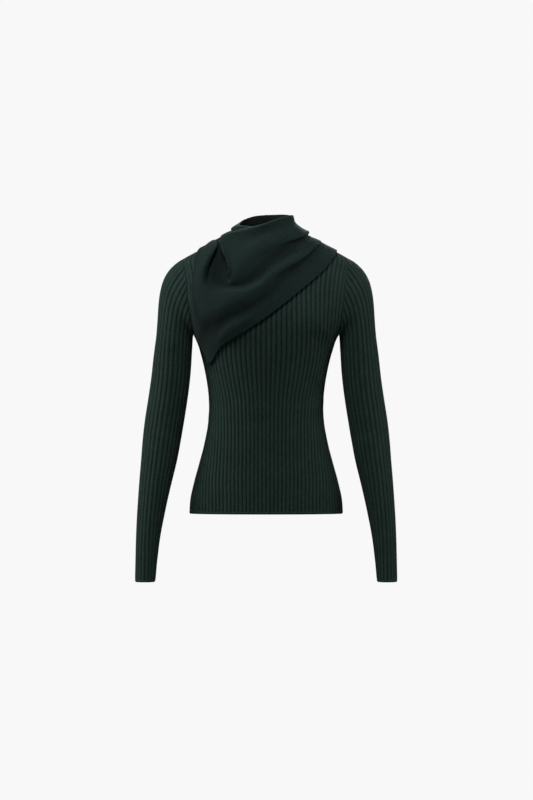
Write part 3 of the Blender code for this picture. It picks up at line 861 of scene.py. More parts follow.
    def build(self, name: str) -> Object:
        """Lays the sleeve's rows and knits it.

        Args:
            name: Name of the piece.

        Returns:
            The piece.
        """
        cuff = float(self.sizes.rows[0][0])
        rows: list[KnitRow] = []
        for z in row_heights(cuff, self.biceps_z, self.row_step):
            pitch = float(self.sizes.read("rib_pitch", z))
            _, _, half = self.ring(np.zeros(1), z)
            ribs = self.stitch.numbers(half / pitch)
            points, ways, _ = self.ring(ribs / (half / pitch) * (1 - self.seam_gap / 2 / half), z)
            rows.append(edge_row(ribs, points, ways, pitch, z - cuff))
        front, back = self.front.armhole_seam(self.arm), self.back.armhole_seam(self.arm)
        seam = (np.concatenate([-front[0][::-1], back[0] + SAME]), np.concatenate([front[1][::-1], back[1]]))
        edge, pitch = rows[-1].ribs[-1], rows[-1].pitch
        for k in range(1, self.cap_rows + 1):
            share = k / self.cap_rows
            ribs = self.stitch.numbers(edge)
            points, ways = self.cap(ribs, edge, share, seam)
            row = KnitRow(ribs, points, ways, pitch, rows[-1].run + self.cap_step)
            at_seam = math.exp(-((1 - share) * self.cap_height / self.stitch.seam_reach) ** 2)
            row.lift = -self.stitch.seam_dip * at_seam
            row.strength = 1 - self.seam_fade * at_seam
            rows.append(row)
        panel = RibPanel(name, self.stitch, self.creases, rows)
        return panel.knit(flipped=self.arm is Arm.RIGHT)


def ring_faces(rows: int, columns: int) -> list[Face]:
    """Faces of a grid that closes on itself round its columns, facing out where its rows rise.

    Args:
        rows: How many rows the grid has.
        columns: How many columns.

    Returns:
        Faces as tuples of vertices.
    """
    faces = []
    for low in range(0, (rows - 1) * columns, columns):
        for k in range(columns):
            after = (k + 1) % columns
            faces.append((low + after, low + columns + after, low + columns + k, low + k))
    return faces


@dataclass
class Neckband:
    """The plain band that stands on the neckline, slouched over on the wearer's right.

    Its wall rises in rows to a lip, where the cloth rolls over and is turned in. A painted highlight
    lies on the lip about one bearing, in degrees from the front, and painted shade along the foot.
    """

    front: BodyPanel
    back: BodyPanel
    wall: float = 0.0016
    wall_rows: int = 16
    roll_rows: int = 9
    roll_start: float = 0.15
    lip_rows: int = 2
    turn_in: float = 0.022
    height: float = 0.045
    round_length: float = 0.40
    lip: float = 0.0012
    lip_rise: float = 0.8
    foot_shade: float = 0.8
    highlight_bearing: float = -55.0
    highlight_spread: float = 45.0
    reach_between: tuple[float, float] = (0.02, 0.12)
    edge: Table = Table(
        ("bearing", "top_height", "stand_off", "slouch"),
        (
            (-180.0, 0.0412, 0.001, -0.005),
            (-150.0, 0.0385, 0.001, -0.004),
            (-120.0, 0.0315, 0.002, 0.007),
            (-90.0, 0.0225, 0.002, 0.019),
            (-60.0, 0.0180, 0.003, 0.013),
            (-30.0, 0.0150, 0.002, 0.001),
            (0.0, 0.0140, 0.001, -0.002),
            (30.0, 0.0200, 0.001, -0.004),
            (60.0, 0.0300, 0.001, -0.007),
            (90.0, 0.0370, 0.000, -0.009),
            (130.0, 0.0412, 0.001, -0.007),
            (180.0, 0.0412, 0.001, -0.005),
        ),
    )

    def neckline(self) -> Array:
        """The loop of places round the neck on the top edges of the front and back."""
        loop = []
        for panel in (self.front, self.back):
            top = panel.rows[-1].points
            chosen = top[np.abs(top[:, 0]) < panel.neck_half][::2]
            loop.append(chosen if panel.side is Side.FRONT else chosen[::-1])
        return np.concatenate(loop)

    def build(self, name: str) -> Object:
        """Makes the band, with its top rolled over and turned in.

        Args:
            name: Name of the piece.

        Returns:
            The piece.
        """
        neckline = self.neckline()
        facing = np.degrees(np.arctan2(neckline[:, 0], -neckline[:, 1]))
        level, stand, slouch = (self.edge.read(part, facing)[:, None] for part in self.edge.names[1:])
        way = self.front.top_way(neckline, np.full(len(neckline), True))
        foot = neckline + unit(UP - way * way[:, 2:]) * self.front.seam_gap * 2
        out = unit(foot * LEVEL)

        def is_inside(reach: Array) -> Array:
            """Whether places at that reach are nearer the figure than the band stands."""
            return self.front.figure.distance(out * reach[:, None] + UP * level) < stand[:, 0]

        near, far = self.reach_between
        reach = highest(is_inside, np.full(len(foot), near), np.full(len(foot), far))
        top = out * reach[:, None] + UP * level
        middle = (foot + top) / 2 + out * slouch

        def wall_at(share: float) -> Array:
            """The band's wall at a share of its height."""
            return (1 - share) ** 2 * foot + 2 * share * (1 - share) * middle + share ** 2 * top

        rows, v = [], []
        for share in np.linspace(0, 1, self.wall_rows):
            rows.append(wall_at(share))
            v.append(share * self.height)
        for share in np.linspace(self.roll_start, 1, self.roll_rows):
            angle = min(1.0, share * 2) * math.pi
            at = 1 - max(0.0, share - 0.5) * 2 * self.turn_in / self.height
            rise = unit((1 - at) * (middle - foot) + at * (top - middle))
            inward = UP * (rise * out).sum(axis=1)[:, None] - out * rise[:, 2:]
            roll = rise * self.lip_rise * math.sin(angle) + inward * (1 - math.cos(angle))
            rows.append(wall_at(at) + roll * self.lip)
            v.append(self.height + share * self.turn_in)
        grid = np.array(rows)
        u = np.linspace(0, self.round_length, len(foot))
        uv = np.stack(np.broadcast_arrays(u[None, :], np.array(v)[:, None]), -1).reshape(-1, 2)
        groove = np.zeros(grid.shape[:2])
        # Painted shade along the band's foot, and a painted highlight on the rows of the lip.
        groove[0] = self.foot_shade
        inner = self.wall_rows + self.lip_rows
        groove[self.wall_rows - 1:inner] = -np.exp(-((facing - self.highlight_bearing) / self.highlight_spread) ** 2)
        faces = ring_faces(len(rows), len(foot))
        turned = slice(inner * len(foot), len(faces))
        return make_cloth(name, grid.reshape(-1, 3), faces, (uv, groove.ravel()), self.wall, turned)


@dataclass(frozen=True)
class Section:
    """One section of the scarf, from its rim down to its hem.

    Each place is (line, x, z, stand): a line of SCARF_LINES, a place seen from the front in
    millimetres, and how far it stands off the figure there. A line left out lies evenly between
    its neighbours. On the ridge of a shoulder, the place is on the ridge itself.
    """

    side: Side
    places: tuple[tuple[str, float, float, float], ...]

    def at(self, name: str) -> tuple[float, float, float]:
        """Finds the place of a line, between its neighbours if it isn't given.

        Args:
            name: The line.

        Returns:
            x, z and the stand, in metres.
        """
        order = {line: k for k, line in enumerate(SCARF_LINES)}
        keys = [order[place[0]] for place in self.places]
        return tuple(float(np.interp(order[name], keys, [place[k] for place in self.places])) / 1000
                     for k in (1, 2, 3))


# The flap hangs from the rim to its edge and is tucked under; the pocket is the trough behind it;
# the swag rises from its foot to its crest and is tucked in the same way over the flat band.
SCARF_LINES = ("rim", "dip", "flap", "flap_edge", "flap_tuck", "pocket", "foot", "inner_edge",
               "swag", "swag_edge", "swag_tuck", "valley", "band", "hem")


BACK_LINES = ("rim", "flap_edge", "pocket", "swag", "swag_edge", "valley", "hem")


def front(*places: tuple[float, float, float]) -> Section:
    """A section on the front, with all of its lines given."""
    return Section(Side.FRONT, tuple((name, *place) for name, place in zip(SCARF_LINES, places, strict=True)))


def back(*places: tuple[float, float, float]) -> Section:
    """A section on the back, where the folds are simpler."""
    return Section(Side.BACK, tuple((name, *place) for name, place in zip(BACK_LINES, places, strict=True)))


SCARF_SECTIONS = (
    Section(Side.RIDGE, (("rim", 55, 37.5, 0), ("dip", 58, 26, 0), ("flap", 74, 13, 0),
                         ("flap_edge", 86, 6.5, 0), ("flap_tuck", 83, -1, 0), ("pocket", 87, -3, 0),
                         ("inner_edge", 95, -5.5, 0), ("swag", 100, -7.5, 0), ("swag_edge", 110, -13, 0),
                         ("swag_tuck", 110.5, -16, 0), ("valley", 114, -18, 0), ("hem", 140, -31, 0))),
    front((50, 37, 9), (57, 20, 9), (68, 6, 11), (76.5, -3, 11), (76, -6, 8), (80, -9.5, 5),
          (84, -11.5, 5.5), (88, -14, 7), (94, -17, 9), (102, -23.5, 9), (101, -26.5, 6), (105, -29.5, 5),
          (116, -36, 5), (137, -44, 4.4)),
    front((41, 34.5, 9.5), (46, 17, 9), (51, 1, 13), (55.5, -11.5, 13), (55, -15, 8.5), (60, -20, 5),
          (65, -24, 6), (70, -28, 9), (77, -33, 12), (85.5, -38.5, 12), (84.5, -42, 7), (88.5, -45.5, 5),
          (104, -56, 5.6), (119.5, -67, 4.5)),
    front((29, 31, 10), (30, 13, 8.5), (31, -4, 17), (33, -18, 17), (35, -27, 10), (39.5, -34, 5),
          (46, -39, 6.5), (52, -44, 12), (58, -49, 16), (65, -54, 15), (65.5, -59, 8), (69, -63, 5),
          (83, -76, 6.2), (98, -88, 4.6)),
    front((15, 26, 11), (14, 8, 8.5), (10, -13, 19), (8, -27, 19), (12, -39, 11.5), (18, -48, 5),
          (25, -53, 7), (30, -58, 13.5), (35, -63, 17.5), (41, -68.5, 16.5), (43, -74, 9), (46.5, -79, 5),
          (60, -96, 6.6), (74.5, -108, 4.6)),
    front((0, 20.5, 11.5), (-4, 1, 9), (-10, -19, 21), (-13, -37, 20), (-8, -50, 12.5), (0.5, -62, 5.5),
          (6, -67, 7.5), (10, -72, 14.5), (14, -77, 18.5), (19, -83, 17.5), (23, -91, 10), (27, -98, 5),
          (37, -117, 7), (48, -130, 4.6)),
    front((-16, 16, 12), (-20, -5, 9.5), (-27, -27, 22), (-31, -51, 20.5), (-25, -66, 13.5), (-16, -80, 6),
          (-11, -85, 7.5), (-7, -90, 14.5), (-3, -95, 19), (2, -99.5, 18), (7, -109, 10.5), (12, -116, 5),
          (16, -134, 7), (18, -154, 4.6)),
    front((-34, 12.5, 12), (-38, -10, 10), (-43, -38, 21.5), (-48, -66, 20), (-43, -83, 14), (-36, -97, 7),
          (-33, -101, 8.5), (-29.5, -106, 14.5), (-26, -110, 19), (-21, -117, 18), (-14, -126, 11),
          (-9, -133, 5), (-12, -155, 7), (-20, -181, 4.6)),
    front((-52, 8, 12), (-54, -12, 10.5), (-59, -47, 20), (-64, -82, 18), (-62.5, -95, 14), (-60, -105, 9),
          (-58, -109, 10), (-56, -113, 15), (-54, -118, 19), (-48, -131, 18), (-41, -142, 11.5),
          (-34, -150, 5), (-44, -174, 7), (-56, -203, 4.6)),
    front((-64, 5, 12), (-66, -12, 10.5), (-68, -48, 18.5), (-71, -86, 16), (-71.5, -97, 11.5),
          (-75, -104, 5), (-77, -108, 6), (-78, -111.5, 9.5), (-78, -118, 17), (-76, -138, 18),
          (-71, -152, 12), (-64, -162, 5.5), (-76, -190, 6.5), (-90, -225.6, 4.6)),
    front((-75, 2.5, 11.5), (-74.5, -12, 10.5), (-74, -42, 18), (-74.5, -84, 18.5), (-69, -84, 8.5),
          (-87, -95, 5), (-94, -103, 5), (-98, -108, 8.5), (-102, -117, 15), (-104, -150, 16),
          (-101, -166, 11.5), (-97, -178, 6.5), (-104, -212, 6), (-114.5, -259.5, 4.4)),
    front((-81, -1, 11), (-81, -12, 10.5), (-79, -36, 17.5), (-76, -70, 19), (-69, -70, 7.5),
          (-97, -82, 4.8), (-113, -90, 6), (-116, -95, 10.5), (-120, -101, 16.5), (-126, -148, 14.5),
          (-126, -166, 12), (-123, -184, 8), (-123, -208, 6), (-124.5, -239, 4.4)),
    front((-86, -3.5, 10), (-86, -11, 10), (-83, -28, 17), (-81, -50, 19), (-73, -50, 7.5), (-98, -59, 4.8),
          (-113, -68, 6), (-114.5, -71, 11), (-123, -79, 18.5), (-134, -110, 17), (-138, -131, 14.5),
          (-140, -150, 11), (-142, -169, 8), (-143.5, -192, 4.4)),
    front((-89, -5, 9), (-89, -10, 9), (-87.5, -20, 15), (-88, -34, 18), (-80, -34, 8), (-97, -40, 4.8),
          (-108, -45.5, 6), (-106.5, -47.5, 12.5), (-117, -54, 18), (-135, -74, 16.5), (-142, -90, 11.5),
          (-145.5, -104, 8.5), (-147.5, -116, 6), (-149.5, -130, 4.4)),
    front((-91, -6, 8), (-91, -8.5, 8), (-91, -13, 11), (-91.5, -19, 14), (-86.5, -19, 8.5),
          (-95, -22, 4.8), (-102, -24, 5.5), (-97.5, -24.5, 12.5), (-108, -31, 16.5), (-127, -45, 13),
          (-136, -55, 11), (-140, -61, 9), (-142.5, -66, 6.5), (-144.5, -73, 4.4)),
    Section(Side.RIDGE, (("rim", -88, 0, 0), ("flap_edge", -91.5, -5, 0), ("pocket", -95, -7.5, 0),
                         ("inner_edge", -101, -9, 0), ("swag", -107, -10, 0), ("swag_edge", -114.5, -15, 0),
                         ("valley", -121, -21.5, 0), ("hem", -128, -28, 0))),
    back((-68, 10, 9), (-72, -4, 11.5), (-75, -14, 5.5), (-84, -26, 10), (-92, -40, 9.5), (-97, -50, 5),
         (-106, -64, 4.5)),
    back((-34, 18, 9), (-36, -2, 11.5), (-38, -14, 5.5), (-42, -32, 10.5), (-47, -52, 9.5),
         (-48, -65, 5), (-52, -92, 4.5)),
    back((12, 26, 9), (12, 0, 11.5), (12, -13, 5.5), (13, -34, 11), (14, -56, 10), (14, -70, 5),
         (16, -98, 4.5)),
    back((42, 34, 8), (60, 2, 11.5), (62, -9, 5.5), (72, -24, 10), (82, -40, 9.5), (85, -50, 5),
         (104, -70, 4.5)),
)


@dataclass
class ScarfCollar:
    """The plain scarf collar: a ring of cloth with a flap, two swags and a pointed end."""

    figure: Figure
    creases: tuple[Crease, ...]
    wall: float = 0.0011
    # The cloth never lies nearer the figure than this, and is moved out in a few steps.
    least: float = 0.0038
    settling: int = 4
    deepest: float = 0.3
    middle: tuple[float, float, float] = (0.0, 0.0, -0.10)
    section_steps: int = 10
    line_steps: tuple[int, ...] = (6, 8, 7, 6, 7, 5, 5, 5, 6, 6, 5, 7, 9)
    round_length: float = 0.85
    # Painted shade in the troughs in front: the line, how dark, and how many rows wide. It fades out at the
    # sides.
    painted_trough_shade: tuple[tuple[str, float, float], ...] = (("pocket", 1.0, 5.5), ("valley", 0.8, 4.5))
    trough_fade: float = 0.05
    # The rim is rolled over in a few rows, some of them inside, and carries a painted highlight, most of all
    # on the flap.
    roll_rows: int = 7
    inner_rows: int = 4
    roll_start: float = 0.12
    roll_in: float = 0.0016
    roll_up: float = 0.0014
    turn_in: float = 0.009
    rim_highlight: float = 0.15
    flap_highlight: float = 0.7
    flap_x: float = -0.055
    flap_spread: float = 0.050

    def knot(self, side: Side, x: float, z: float, stand: float) -> Array:
        """Moves a place seen from the front out of the figure, until it stands off it.

        Args:
            side: Which way it faces. A place on the ridge stays where it is.
            x: Its place across.
            z: Its height.
            stand: How far it stands off.

        Returns:
            The place.
        """
        if side is Side.RIDGE:
            return np.array([x, 0.0, z])

        def is_near(y: Array) -> Array:
            """Whether the place is nearer the figure than it should stand."""
            return self.figure.distance(np.array([x, side.value * float(y[0]), z]))[None] < stand

        out = highest(is_near, np.zeros(1), np.full(1, self.deepest))
        return np.array([x, side.value * float(out[0]), z])

    def build(self, name: str) -> Object:
        """Drapes the collar on the figure.

        Args:
            name: Name of the piece.

        Returns:
            The piece.
        """
        lines = []
        for line in SCARF_LINES:
            knots = [self.knot(section.side, *section.at(line)) for section in SCARF_SECTIONS]
            lines.append(centripetal(knots, [self.section_steps] * len(knots), closed=True))
        grid = centripetal(lines, list(self.line_steps), closed=False)
        for _ in range(self.settling):
            short = np.maximum(self.least - self.figure.distance(grid), 0)
            grid = grid + unit(self.figure.gradient(grid)) * short[..., None]
        lift = sum(crease.lift(grid) for crease in self.creases)
        lift = np.maximum(lift, self.least - self.figure.distance(grid))
        grid = self.turned_rim(grid + self.ways(grid) * lift[..., None])
        steps = np.linalg.norm(np.diff(grid, axis=0), axis=-1)
        down = np.concatenate([np.zeros((1, grid.shape[1])), np.cumsum(steps, axis=0)])
        along = np.linspace(0, self.round_length, grid.shape[1])[None, :] + 0 * down
        maps = (np.stack([along, down], -1).reshape(-1, 2), self.grooves(grid).ravel())
        turned = slice(0, self.inner_rows * grid.shape[1])
        return make_cloth(name, grid.reshape(-1, 3), ring_faces(*grid.shape[:2]), maps, self.wall, turned)

    def grooves(self, grid: Array) -> Array:
        """How dark the painted shade in the troughs is, and below 0 how strong the painted highlight on the
        rim is.

        Args:
            grid: The whole draped grid, with its rim turned.

        Returns:
            One value for each place of the grid.
        """
        starts = self.roll_rows + np.concatenate([[0], np.cumsum(self.line_steps)])
        row = np.arange(len(grid))[:, None]
        groove = np.zeros(grid.shape[:2])
        for line, depth, reach in self.painted_trough_shade:
            nearness = np.exp(-((row - starts[SCARF_LINES.index(line)]) / reach) ** 2)
            groove = groove + depth * nearness * np.clip(-grid[:, :, 1] / self.trough_fade, 0, 1)
        rim = grid[self.roll_rows]
        on_flap = np.exp(-((rim[:, 0] - self.flap_x) / self.flap_spread) ** 2) * (rim[:, 1] < 0)
        groove[:self.inner_rows] = 0
        groove[self.inner_rows:self.roll_rows + 1] = -self.rim_highlight - self.flap_highlight * on_flap
        return groove

    def ways(self, grid: Array) -> Array:
        """Finds the ways out of a draped grid.

        Args:
            grid: Places of shape (rows, columns, 3).

        Returns:
            A way of length 1 at each place.
        """
        along = np.roll(grid, -1, axis=1) - np.roll(grid, 1, axis=1)
        ways = unit(np.cross(along, np.gradient(grid, axis=0)))
        outward = grid - np.array(self.middle)
        return ways * np.sign((ways * outward).sum(axis=-1).mean())

    def turned_rim(self, grid: Array) -> Array:
        """Rolls the rim over and a little way down inside, as the fold at the top of the collar.

        Args:
            grid: The draped grid, from its rim down.

        Returns:
            The grid with the rows of the roll before it.
        """
        rim = grid[0]
        out = unit(rim * LEVEL)
        rows = []
        for share in np.linspace(1, self.roll_start, self.roll_rows):
            angle = min(1.0, share * 2) * math.pi
            drop = max(0.0, share - 0.5) * 2 * self.turn_in
            rise = self.roll_up * math.sin(angle) - drop
            rows.append(rim - out * self.roll_in * (1 - math.cos(angle)) + UP * rise)
        return np.concatenate([np.array(rows), grid])


def linear(hex_code: str) -> tuple[float, float, float, float]:
    """Turns a sRGB hex code into a linear colour."""
    parts = [int(hex_code[k:k + 2], 16) / 255 for k in (1, 3, 5)]
    return (*[p / 12.92 if p <= 0.04045 else ((p + 0.055) / 1.055) ** 2.4 for p in parts], 1.0)


def add_node(tree: NodeTree, kind: str, settings: dict[str, object] | None = None,
             inputs: dict[str | int, object] | None = None) -> Node:
    """Adds a node to a tree.

    Args:
        tree: The tree.
        kind: The node's type.
        settings: Attributes to set on it.
        inputs: Values, or sockets to link from, by the input's name or place.

    Returns:
        The node.
    """
    node = tree.nodes.new(kind)
    for name, value in (settings or {}).items():
        setattr(node, name, value)
    for name, value in (inputs or {}).items():
        if isinstance(value, NodeSocket):
            tree.links.new(value, node.inputs[name])
        else:
            node.inputs[name].default_value = value
    return node


@dataclass(frozen=True)
class MerinoKnit:
    """Fine merino yarn knitted on a fine gauge: dull, slightly hairy, darker between the stitches.

    The stitches are drawn a little coarser than real ones, so that they show: wale is the width of
    one and course its height, in metres. One more colour, lighter than the yarn, is a painted
    highlight on the lit turned edges.
    """

    name: str
    yarn: str = "#1c2a26"
    shade: str = "#0a100f"
    lip_highlight: str = "#24332e"
    sheen: str = "#b9c9c2"
    wale: float = 0.0017
    course: float = 0.0014
    slope: float = 1.3
    bump: float = 0.00022
    # Hair and uneven dye are noise, with its scale in steps a metre.
    hair_scale: float = 420.0
    hair_height: float = 0.35
    fuzz: float = 2.0
    tone_scale: float = 45.0
    tone_share: float = 0.35
    # The way from the shade (0) to the yarn's colour (1): the ground, more on a strand, less in a groove,
    # where shade is painted.
    ground: float = 0.50
    strand_share: float = 0.40
    groove_shade: float = 0.6
    roughness: float = 0.88
    specular: float = 0.03
    sheen_weight: float = 0.01
    sheen_roughness: float = 0.55

    def build(self) -> Material:
        """Makes the material: V stitches on the map in metres, hair and tone on Object coordinates.

        Returns:
            The material.
        """
        material = bpy.data.materials.new(self.name)
        material.use_nodes = True
        tree = material.node_tree
        shader = tree.nodes["Principled BSDF"]
        shader.inputs["Roughness"].default_value = self.roughness
        shader.inputs["IOR"].default_value = 1.45
        shader.inputs["Specular IOR Level"].default_value = self.specular
        shader.inputs["Sheen Weight"].default_value = self.sheen_weight
        shader.inputs["Sheen Roughness"].default_value = self.sheen_roughness
        shader.inputs["Sheen Tint"].default_value = linear(self.sheen)

        def maths(kind: str, *values: object) -> NodeSocket:
            """One step of arithmetic between sockets and numbers."""
            return add_node(tree, "ShaderNodeMath", {"operation": kind}, dict(enumerate(values))).outputs[0]

        def noise(scale: float, **settings: float) -> NodeSocket:
            """Makes noise on the piece's Object coordinates.

            Args:
                scale: How fine it is.
                settings: Values of the node's other inputs.

            Returns:
                Its value.
            """
            place = add_node(tree, "ShaderNodeTexCoord").outputs["Object"]
            inputs = {"Vector": place, "Scale": scale, "Detail": 4.0, **settings}
            return add_node(tree, "ShaderNodeTexNoise", inputs=inputs).outputs["Fac"]

        def swing(value: NodeSocket, share: float) -> NodeSocket:
            """A value about 0.5 turned to one about 0, at a share of its strength."""
            return maths("MULTIPLY", maths("SUBTRACT", value, 0.5), share)

        def blend(share: NodeSocket, first: object, second: object) -> NodeSocket:
            """A mix of two colours, all the second where the share is 1."""
            settings = {"data_type": "RGBA", "clamp_factor": True}
            return add_node(tree, "ShaderNodeMix", settings, {0: share, 6: first, 7: second}).outputs[2]

        cloth = add_node(tree, "ShaderNodeUVMap", {"uv_map": "cloth_metres"})
        split = add_node(tree, "ShaderNodeSeparateXYZ", inputs={0: cloth.outputs[0]})
        # Each wale is a column of Vs: the course line drops towards the wale's middle.
        across = maths("PINGPONG", maths("DIVIDE", split.outputs[0], self.wale), 0.5)
        course = maths("DIVIDE", split.outputs[1], self.course)
        loop = maths("PINGPONG", maths("ADD", course, maths("MULTIPLY", across, self.slope)), 0.5)
        round_strand = maths("SMOOTH_MIN", maths("MULTIPLY", across, 2.0), 0.75, 0.4)
        strand = maths("MULTIPLY", round_strand, maths("ADD", 0.55, loop))
        hair, tone = noise(self.hair_scale, Roughness=0.7), noise(self.tone_scale)
        groove = add_node(tree, "ShaderNodeAttribute", {"attribute_name": "groove"}).outputs["Fac"]
        # A groove value above 0 is painted shade, drawn towards the shade colour.
        light = maths("SUBTRACT", maths("ADD", self.ground, maths("MULTIPLY", strand, self.strand_share)),
                      maths("MULTIPLY", groove, self.groove_shade))
        light = maths("ADD", light, swing(tone, self.tone_share))
        light = maths("ADD", light, swing(hair, self.fuzz))
        # A groove value below 0 is a painted highlight, drawn towards the lighter edge colour.
        lip = maths("MAXIMUM", maths("MULTIPLY", groove, -1.0), 0.0)
        colour = blend(lip, blend(light, linear(self.shade), linear(self.yarn)), linear(self.lip_highlight))
        height = maths("ADD", strand, maths("MULTIPLY", hair, self.hair_height))
        bump = add_node(tree, "ShaderNodeBump",
                        inputs={"Strength": 0.8, "Distance": self.bump, "Height": height})
        tree.links.new(colour, shader.inputs["Base Color"])
        tree.links.new(bump.outputs[0], shader.inputs["Normal"])
        return material


@dataclass(frozen=True)
class Softbox:
    """A square soft light, aimed at the chest. Its power is in watts."""

    name: str
    place: tuple[float, float, float]
    size: float
    power: float
    aim: tuple[float, float, float] = (0.0, 0.0, -0.25)

    def build(self) -> None:
        """Hangs the light."""
        lamp = bpy.data.lights.new(self.name, "AREA")
        lamp.energy = self.power
        lamp.size = self.size
        light = bpy.data.objects.new(self.name, lamp)
        light.location = self.place
        light.rotation_euler = (Vector(self.aim) - Vector(self.place)).to_track_quat("-Z", "Y").to_euler()
        bpy.context.scene.collection.objects.link(light)


@dataclass
class Studio:
    """The pale floor, the soft lights and the camera at the photograph's angle."""

    floor_z: float = -3.0
    floor_radius: float = 3.0
    metres_a_pixel: float = 0.002
    centre_px: tuple[float, float] = (266.15, 235.0)
    picture_px: tuple[int, int] = (533, 800)
    lens: float = 180.0
    sensor: float = 36.0
    farthest: float = 60.0
    # The room's brightness from below (0) by the level (0.5) to overhead (1).
    walls: tuple[tuple[float, str], ...] = (
        (0.001, "#3a3a3a"),
        (0.36, "#4c4c4c"),
        (0.50, "#6c6c6c"),
        (0.64, "#606060"),
        (0.999, "#606060"),
    )
    # What shows behind the top. It lights nothing.
    backdrop: str = "#f8f8f8"
    softboxes: tuple[Softbox, ...] = (
        Softbox("key_softbox", (-0.5, -2.6, 2.7), 1.6, 240.0),
        Softbox("left_softbox", (-2.8, -0.1, 0.9), 1.0, 135.0),
        Softbox("right_softbox", (2.8, -0.1, 0.9), 1.0, 90.0),
        Softbox("back_softbox", (0.5, 2.9, 0.9), 1.8, 140.0),
    )

    def floor(self) -> None:
        """Lays a large pale floor below the picture."""
        bpy.ops.object.select_all(action="DESELECT")
        bpy.ops.mesh.primitive_circle_add(vertices=96, radius=self.floor_radius, fill_type="NGON",
                                          location=(0, 0, self.floor_z))
        floor = bpy.context.object
        floor.name = "pale_floor"
        bpy.ops.object.transform_apply(location=True)
        paint = bpy.data.materials.new("matt_white_floor_paint")
        paint.use_nodes = True
        shader = paint.node_tree.nodes["Principled BSDF"]
        shader.inputs["Base Color"].default_value = linear("#f4f4f4")
        shader.inputs["Roughness"].default_value = 0.9
        floor.data.materials.append(paint)

    def room(self) -> None:
        """Makes the world: a room of soft greys, which the camera sees as a pale backdrop."""
        world = bpy.data.worlds.new("pale_room")
        bpy.context.scene.world = world
        world.use_nodes = True
        tree = world.node_tree
        way = add_node(tree, "ShaderNodeTexCoord").outputs["Object"]
        look = add_node(tree, "ShaderNodeSeparateXYZ", inputs={0: way})
        level = add_node(tree, "ShaderNodeMapRange",
                         inputs={"Value": look.outputs[2], "From Min": -1.0, "From Max": 1.0})
        walls = add_node(tree, "ShaderNodeValToRGB", inputs={0: level.outputs[0]})
        for place, code in self.walls:
            walls.color_ramp.elements.new(place).color = linear(code)
        for spare in (0, -1):
            walls.color_ramp.elements.remove(walls.color_ramp.elements[spare])
        lit = tree.nodes["Background"]
        tree.links.new(walls.outputs[0], lit.inputs[0])
        seen = add_node(tree, "ShaderNodeBackground", inputs={0: linear(self.backdrop)})
        is_seen = add_node(tree, "ShaderNodeLightPath").outputs["Is Camera Ray"]
        both = add_node(tree, "ShaderNodeMixShader",
                        inputs={0: is_seen, 1: lit.outputs[0], 2: seen.outputs[0]})
        tree.links.new(both.outputs[0], tree.nodes["World Output"].inputs[0])

    def camera(self) -> None:
        """Sets up a long lens, level, in front of the middle of the picture."""
        lens = bpy.data.cameras.new("camera")
        lens.lens = self.lens
        lens.sensor_width = self.sensor
        lens.clip_end = self.farthest
        camera = bpy.data.objects.new("camera", lens)
        wide, high = self.picture_px
        x = (wide / 2 - self.centre_px[0]) * self.metres_a_pixel
        z = (self.centre_px[1] - high / 2) * self.metres_a_pixel
        away = high * self.metres_a_pixel * self.lens / self.sensor
        camera.location = (x, -away, z)
        camera.rotation_euler = (math.pi / 2, 0, 0)
        bpy.context.scene.collection.objects.link(camera)
        bpy.context.scene.camera = camera

    def build(self) -> None:
        """Sets up the whole studio."""
        self.floor()
        self.room()
        for softbox in self.softboxes:
            softbox.build()
        self.camera()
        bpy.context.scene.view_settings.view_transform = "Standard"


BODY_CREASES = (
    Crease(Side.FRONT, 0.118, -0.196, 128, 0.034, 0.007, 0.0016),
    Crease(Side.FRONT, -0.118, -0.196, 52, 0.034, 0.007, 0.0016),
    Crease(Side.FRONT, 0.103, -0.214, 140, 0.028, 0.006, -0.0012),
    Crease(Side.FRONT, 0.082, -0.345, 12, 0.040, 0.008, 0.0010),
    Crease(Side.FRONT, -0.078, -0.362, 170, 0.046, 0.009, 0.0011),
    Crease(Side.FRONT, -0.020, -0.372, 4, 0.050, 0.010, -0.0008),
    Crease(Side.BACK, 0.060, -0.330, 14, 0.050, 0.009, 0.0014),
    Crease(Side.BACK, -0.050, -0.352, 168, 0.056, 0.010, 0.0016),
    Crease(Side.BACK, 0.020, -0.378, 4, 0.060, 0.010, -0.0012),
    Crease(Side.BACK, 0.112, -0.190, 122, 0.036, 0.008, 0.0015),
    Crease(Side.BACK, -0.112, -0.186, 60, 0.032, 0.008, 0.0014),
)
SLEEVE_CREASES = (
    Crease(Side.FRONT, 0.206, -0.392, 24, 0.026, 0.007, -0.0016),
    Crease(Side.FRONT, 0.200, -0.360, 160, 0.024, 0.007, 0.0012),
    Crease(Side.FRONT, 0.186, -0.225, 150, 0.022, 0.006, 0.0012),
    Crease(Side.BACK, 0.208, -0.402, 160, 0.024, 0.008, 0.0018),
    Crease(Side.BACK, 0.202, -0.368, 18, 0.026, 0.008, -0.0014),
)
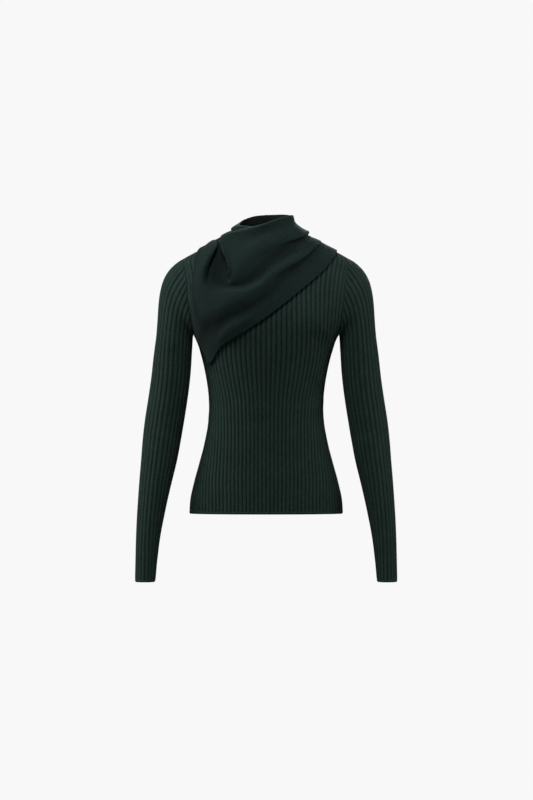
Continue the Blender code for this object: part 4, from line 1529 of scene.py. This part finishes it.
SCARF_CREASES = (
    Crease(Side.FRONT, -0.060, -0.190, 38, 0.050, 0.012, 0.0012),
    Crease(Side.FRONT, 0.020, -0.130, 36, 0.050, 0.010, 0.0010),
    Crease(Side.FRONT, -0.125, -0.170, 80, 0.060, 0.009, 0.0016),
    Crease(Side.BACK, -0.030, -0.060, 8, 0.050, 0.008, 0.0018),
    Crease(Side.BACK, 0.050, -0.044, -30, 0.040, 0.008, 0.0016),
)


def dress(piece: Object, node: str, finishes: tuple[Material, Material]) -> None:
    """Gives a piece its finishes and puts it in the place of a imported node.

    Args:
        piece: The new piece.
        node: The node that it stands for.
        finishes: The materials of its face and of its reverse.
    """
    for finish in finishes:
        piece.data.materials.append(finish)
    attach(piece, "root")
    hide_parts(node)
    LOG.info("%s: %d faces in place of %s", piece.name, len(piece.data.polygons), node)


def main() -> None:
    """Builds the top piece by piece, then the studio."""
    logging.basicConfig(level=logging.INFO, format="%(name)s: %(message)s")
    figure, stitch = Figure(), RibStitch()
    # Rib knit of the body and sleeves, the smooth jersey of the scarf and neckband, and the duller
    # reverse that shows inside the neck, which is also drawn darker: painted shade inside the neck.
    rib = MerinoKnit("merino_rib_knit").build()
    jersey = MerinoKnit("merino_fine_jersey", yarn="#111c1a", wale=0.0014, course=0.0011,
                        bump=0.00016, fuzz=3.4).build()
    # Darker and greyer than the jersey: partly the duller reverse, partly painted shade inside the neck.
    shaded_reverse = MerinoKnit("merino_jersey_reverse_painted_shade", yarn="#101211", shade="#080a09",
                         wale=0.0014, course=0.0011).build()
    panels = {}
    for side, node in ((Side.FRONT, "front"), (Side.BACK, "back")):
        panel = BodyPanel(side, figure, stitch, tuple(c for c in BODY_CREASES if c.side is side))
        panel.lay_rows()
        panels[side] = panel
        piece = panel.build(f"rib_{node}")
        dress(piece, node, (rib, shaded_reverse))
    for arm, node in ((Arm.LEFT, "sleeve_left"), (Arm.RIGHT, "sleeve_right")):
        creases = tuple(c if arm is Arm.LEFT else c.mirrored() for c in SLEEVE_CREASES)
        piece = Sleeve(arm, panels[Side.FRONT], panels[Side.BACK], stitch, creases).build(f"rib_{node}")
        dress(piece, node, (rib, shaded_reverse))
    band = Neckband(panels[Side.FRONT], panels[Side.BACK]).build("jersey_neckband")
    dress(band, "neckband", (jersey, shaded_reverse))
    scarf = ScarfCollar(figure, SCARF_CREASES).build("jersey_scarf")
    dress(scarf, "scarf", (jersey, jersey))
    Studio().build()


if __name__ == "__main__":
    main()
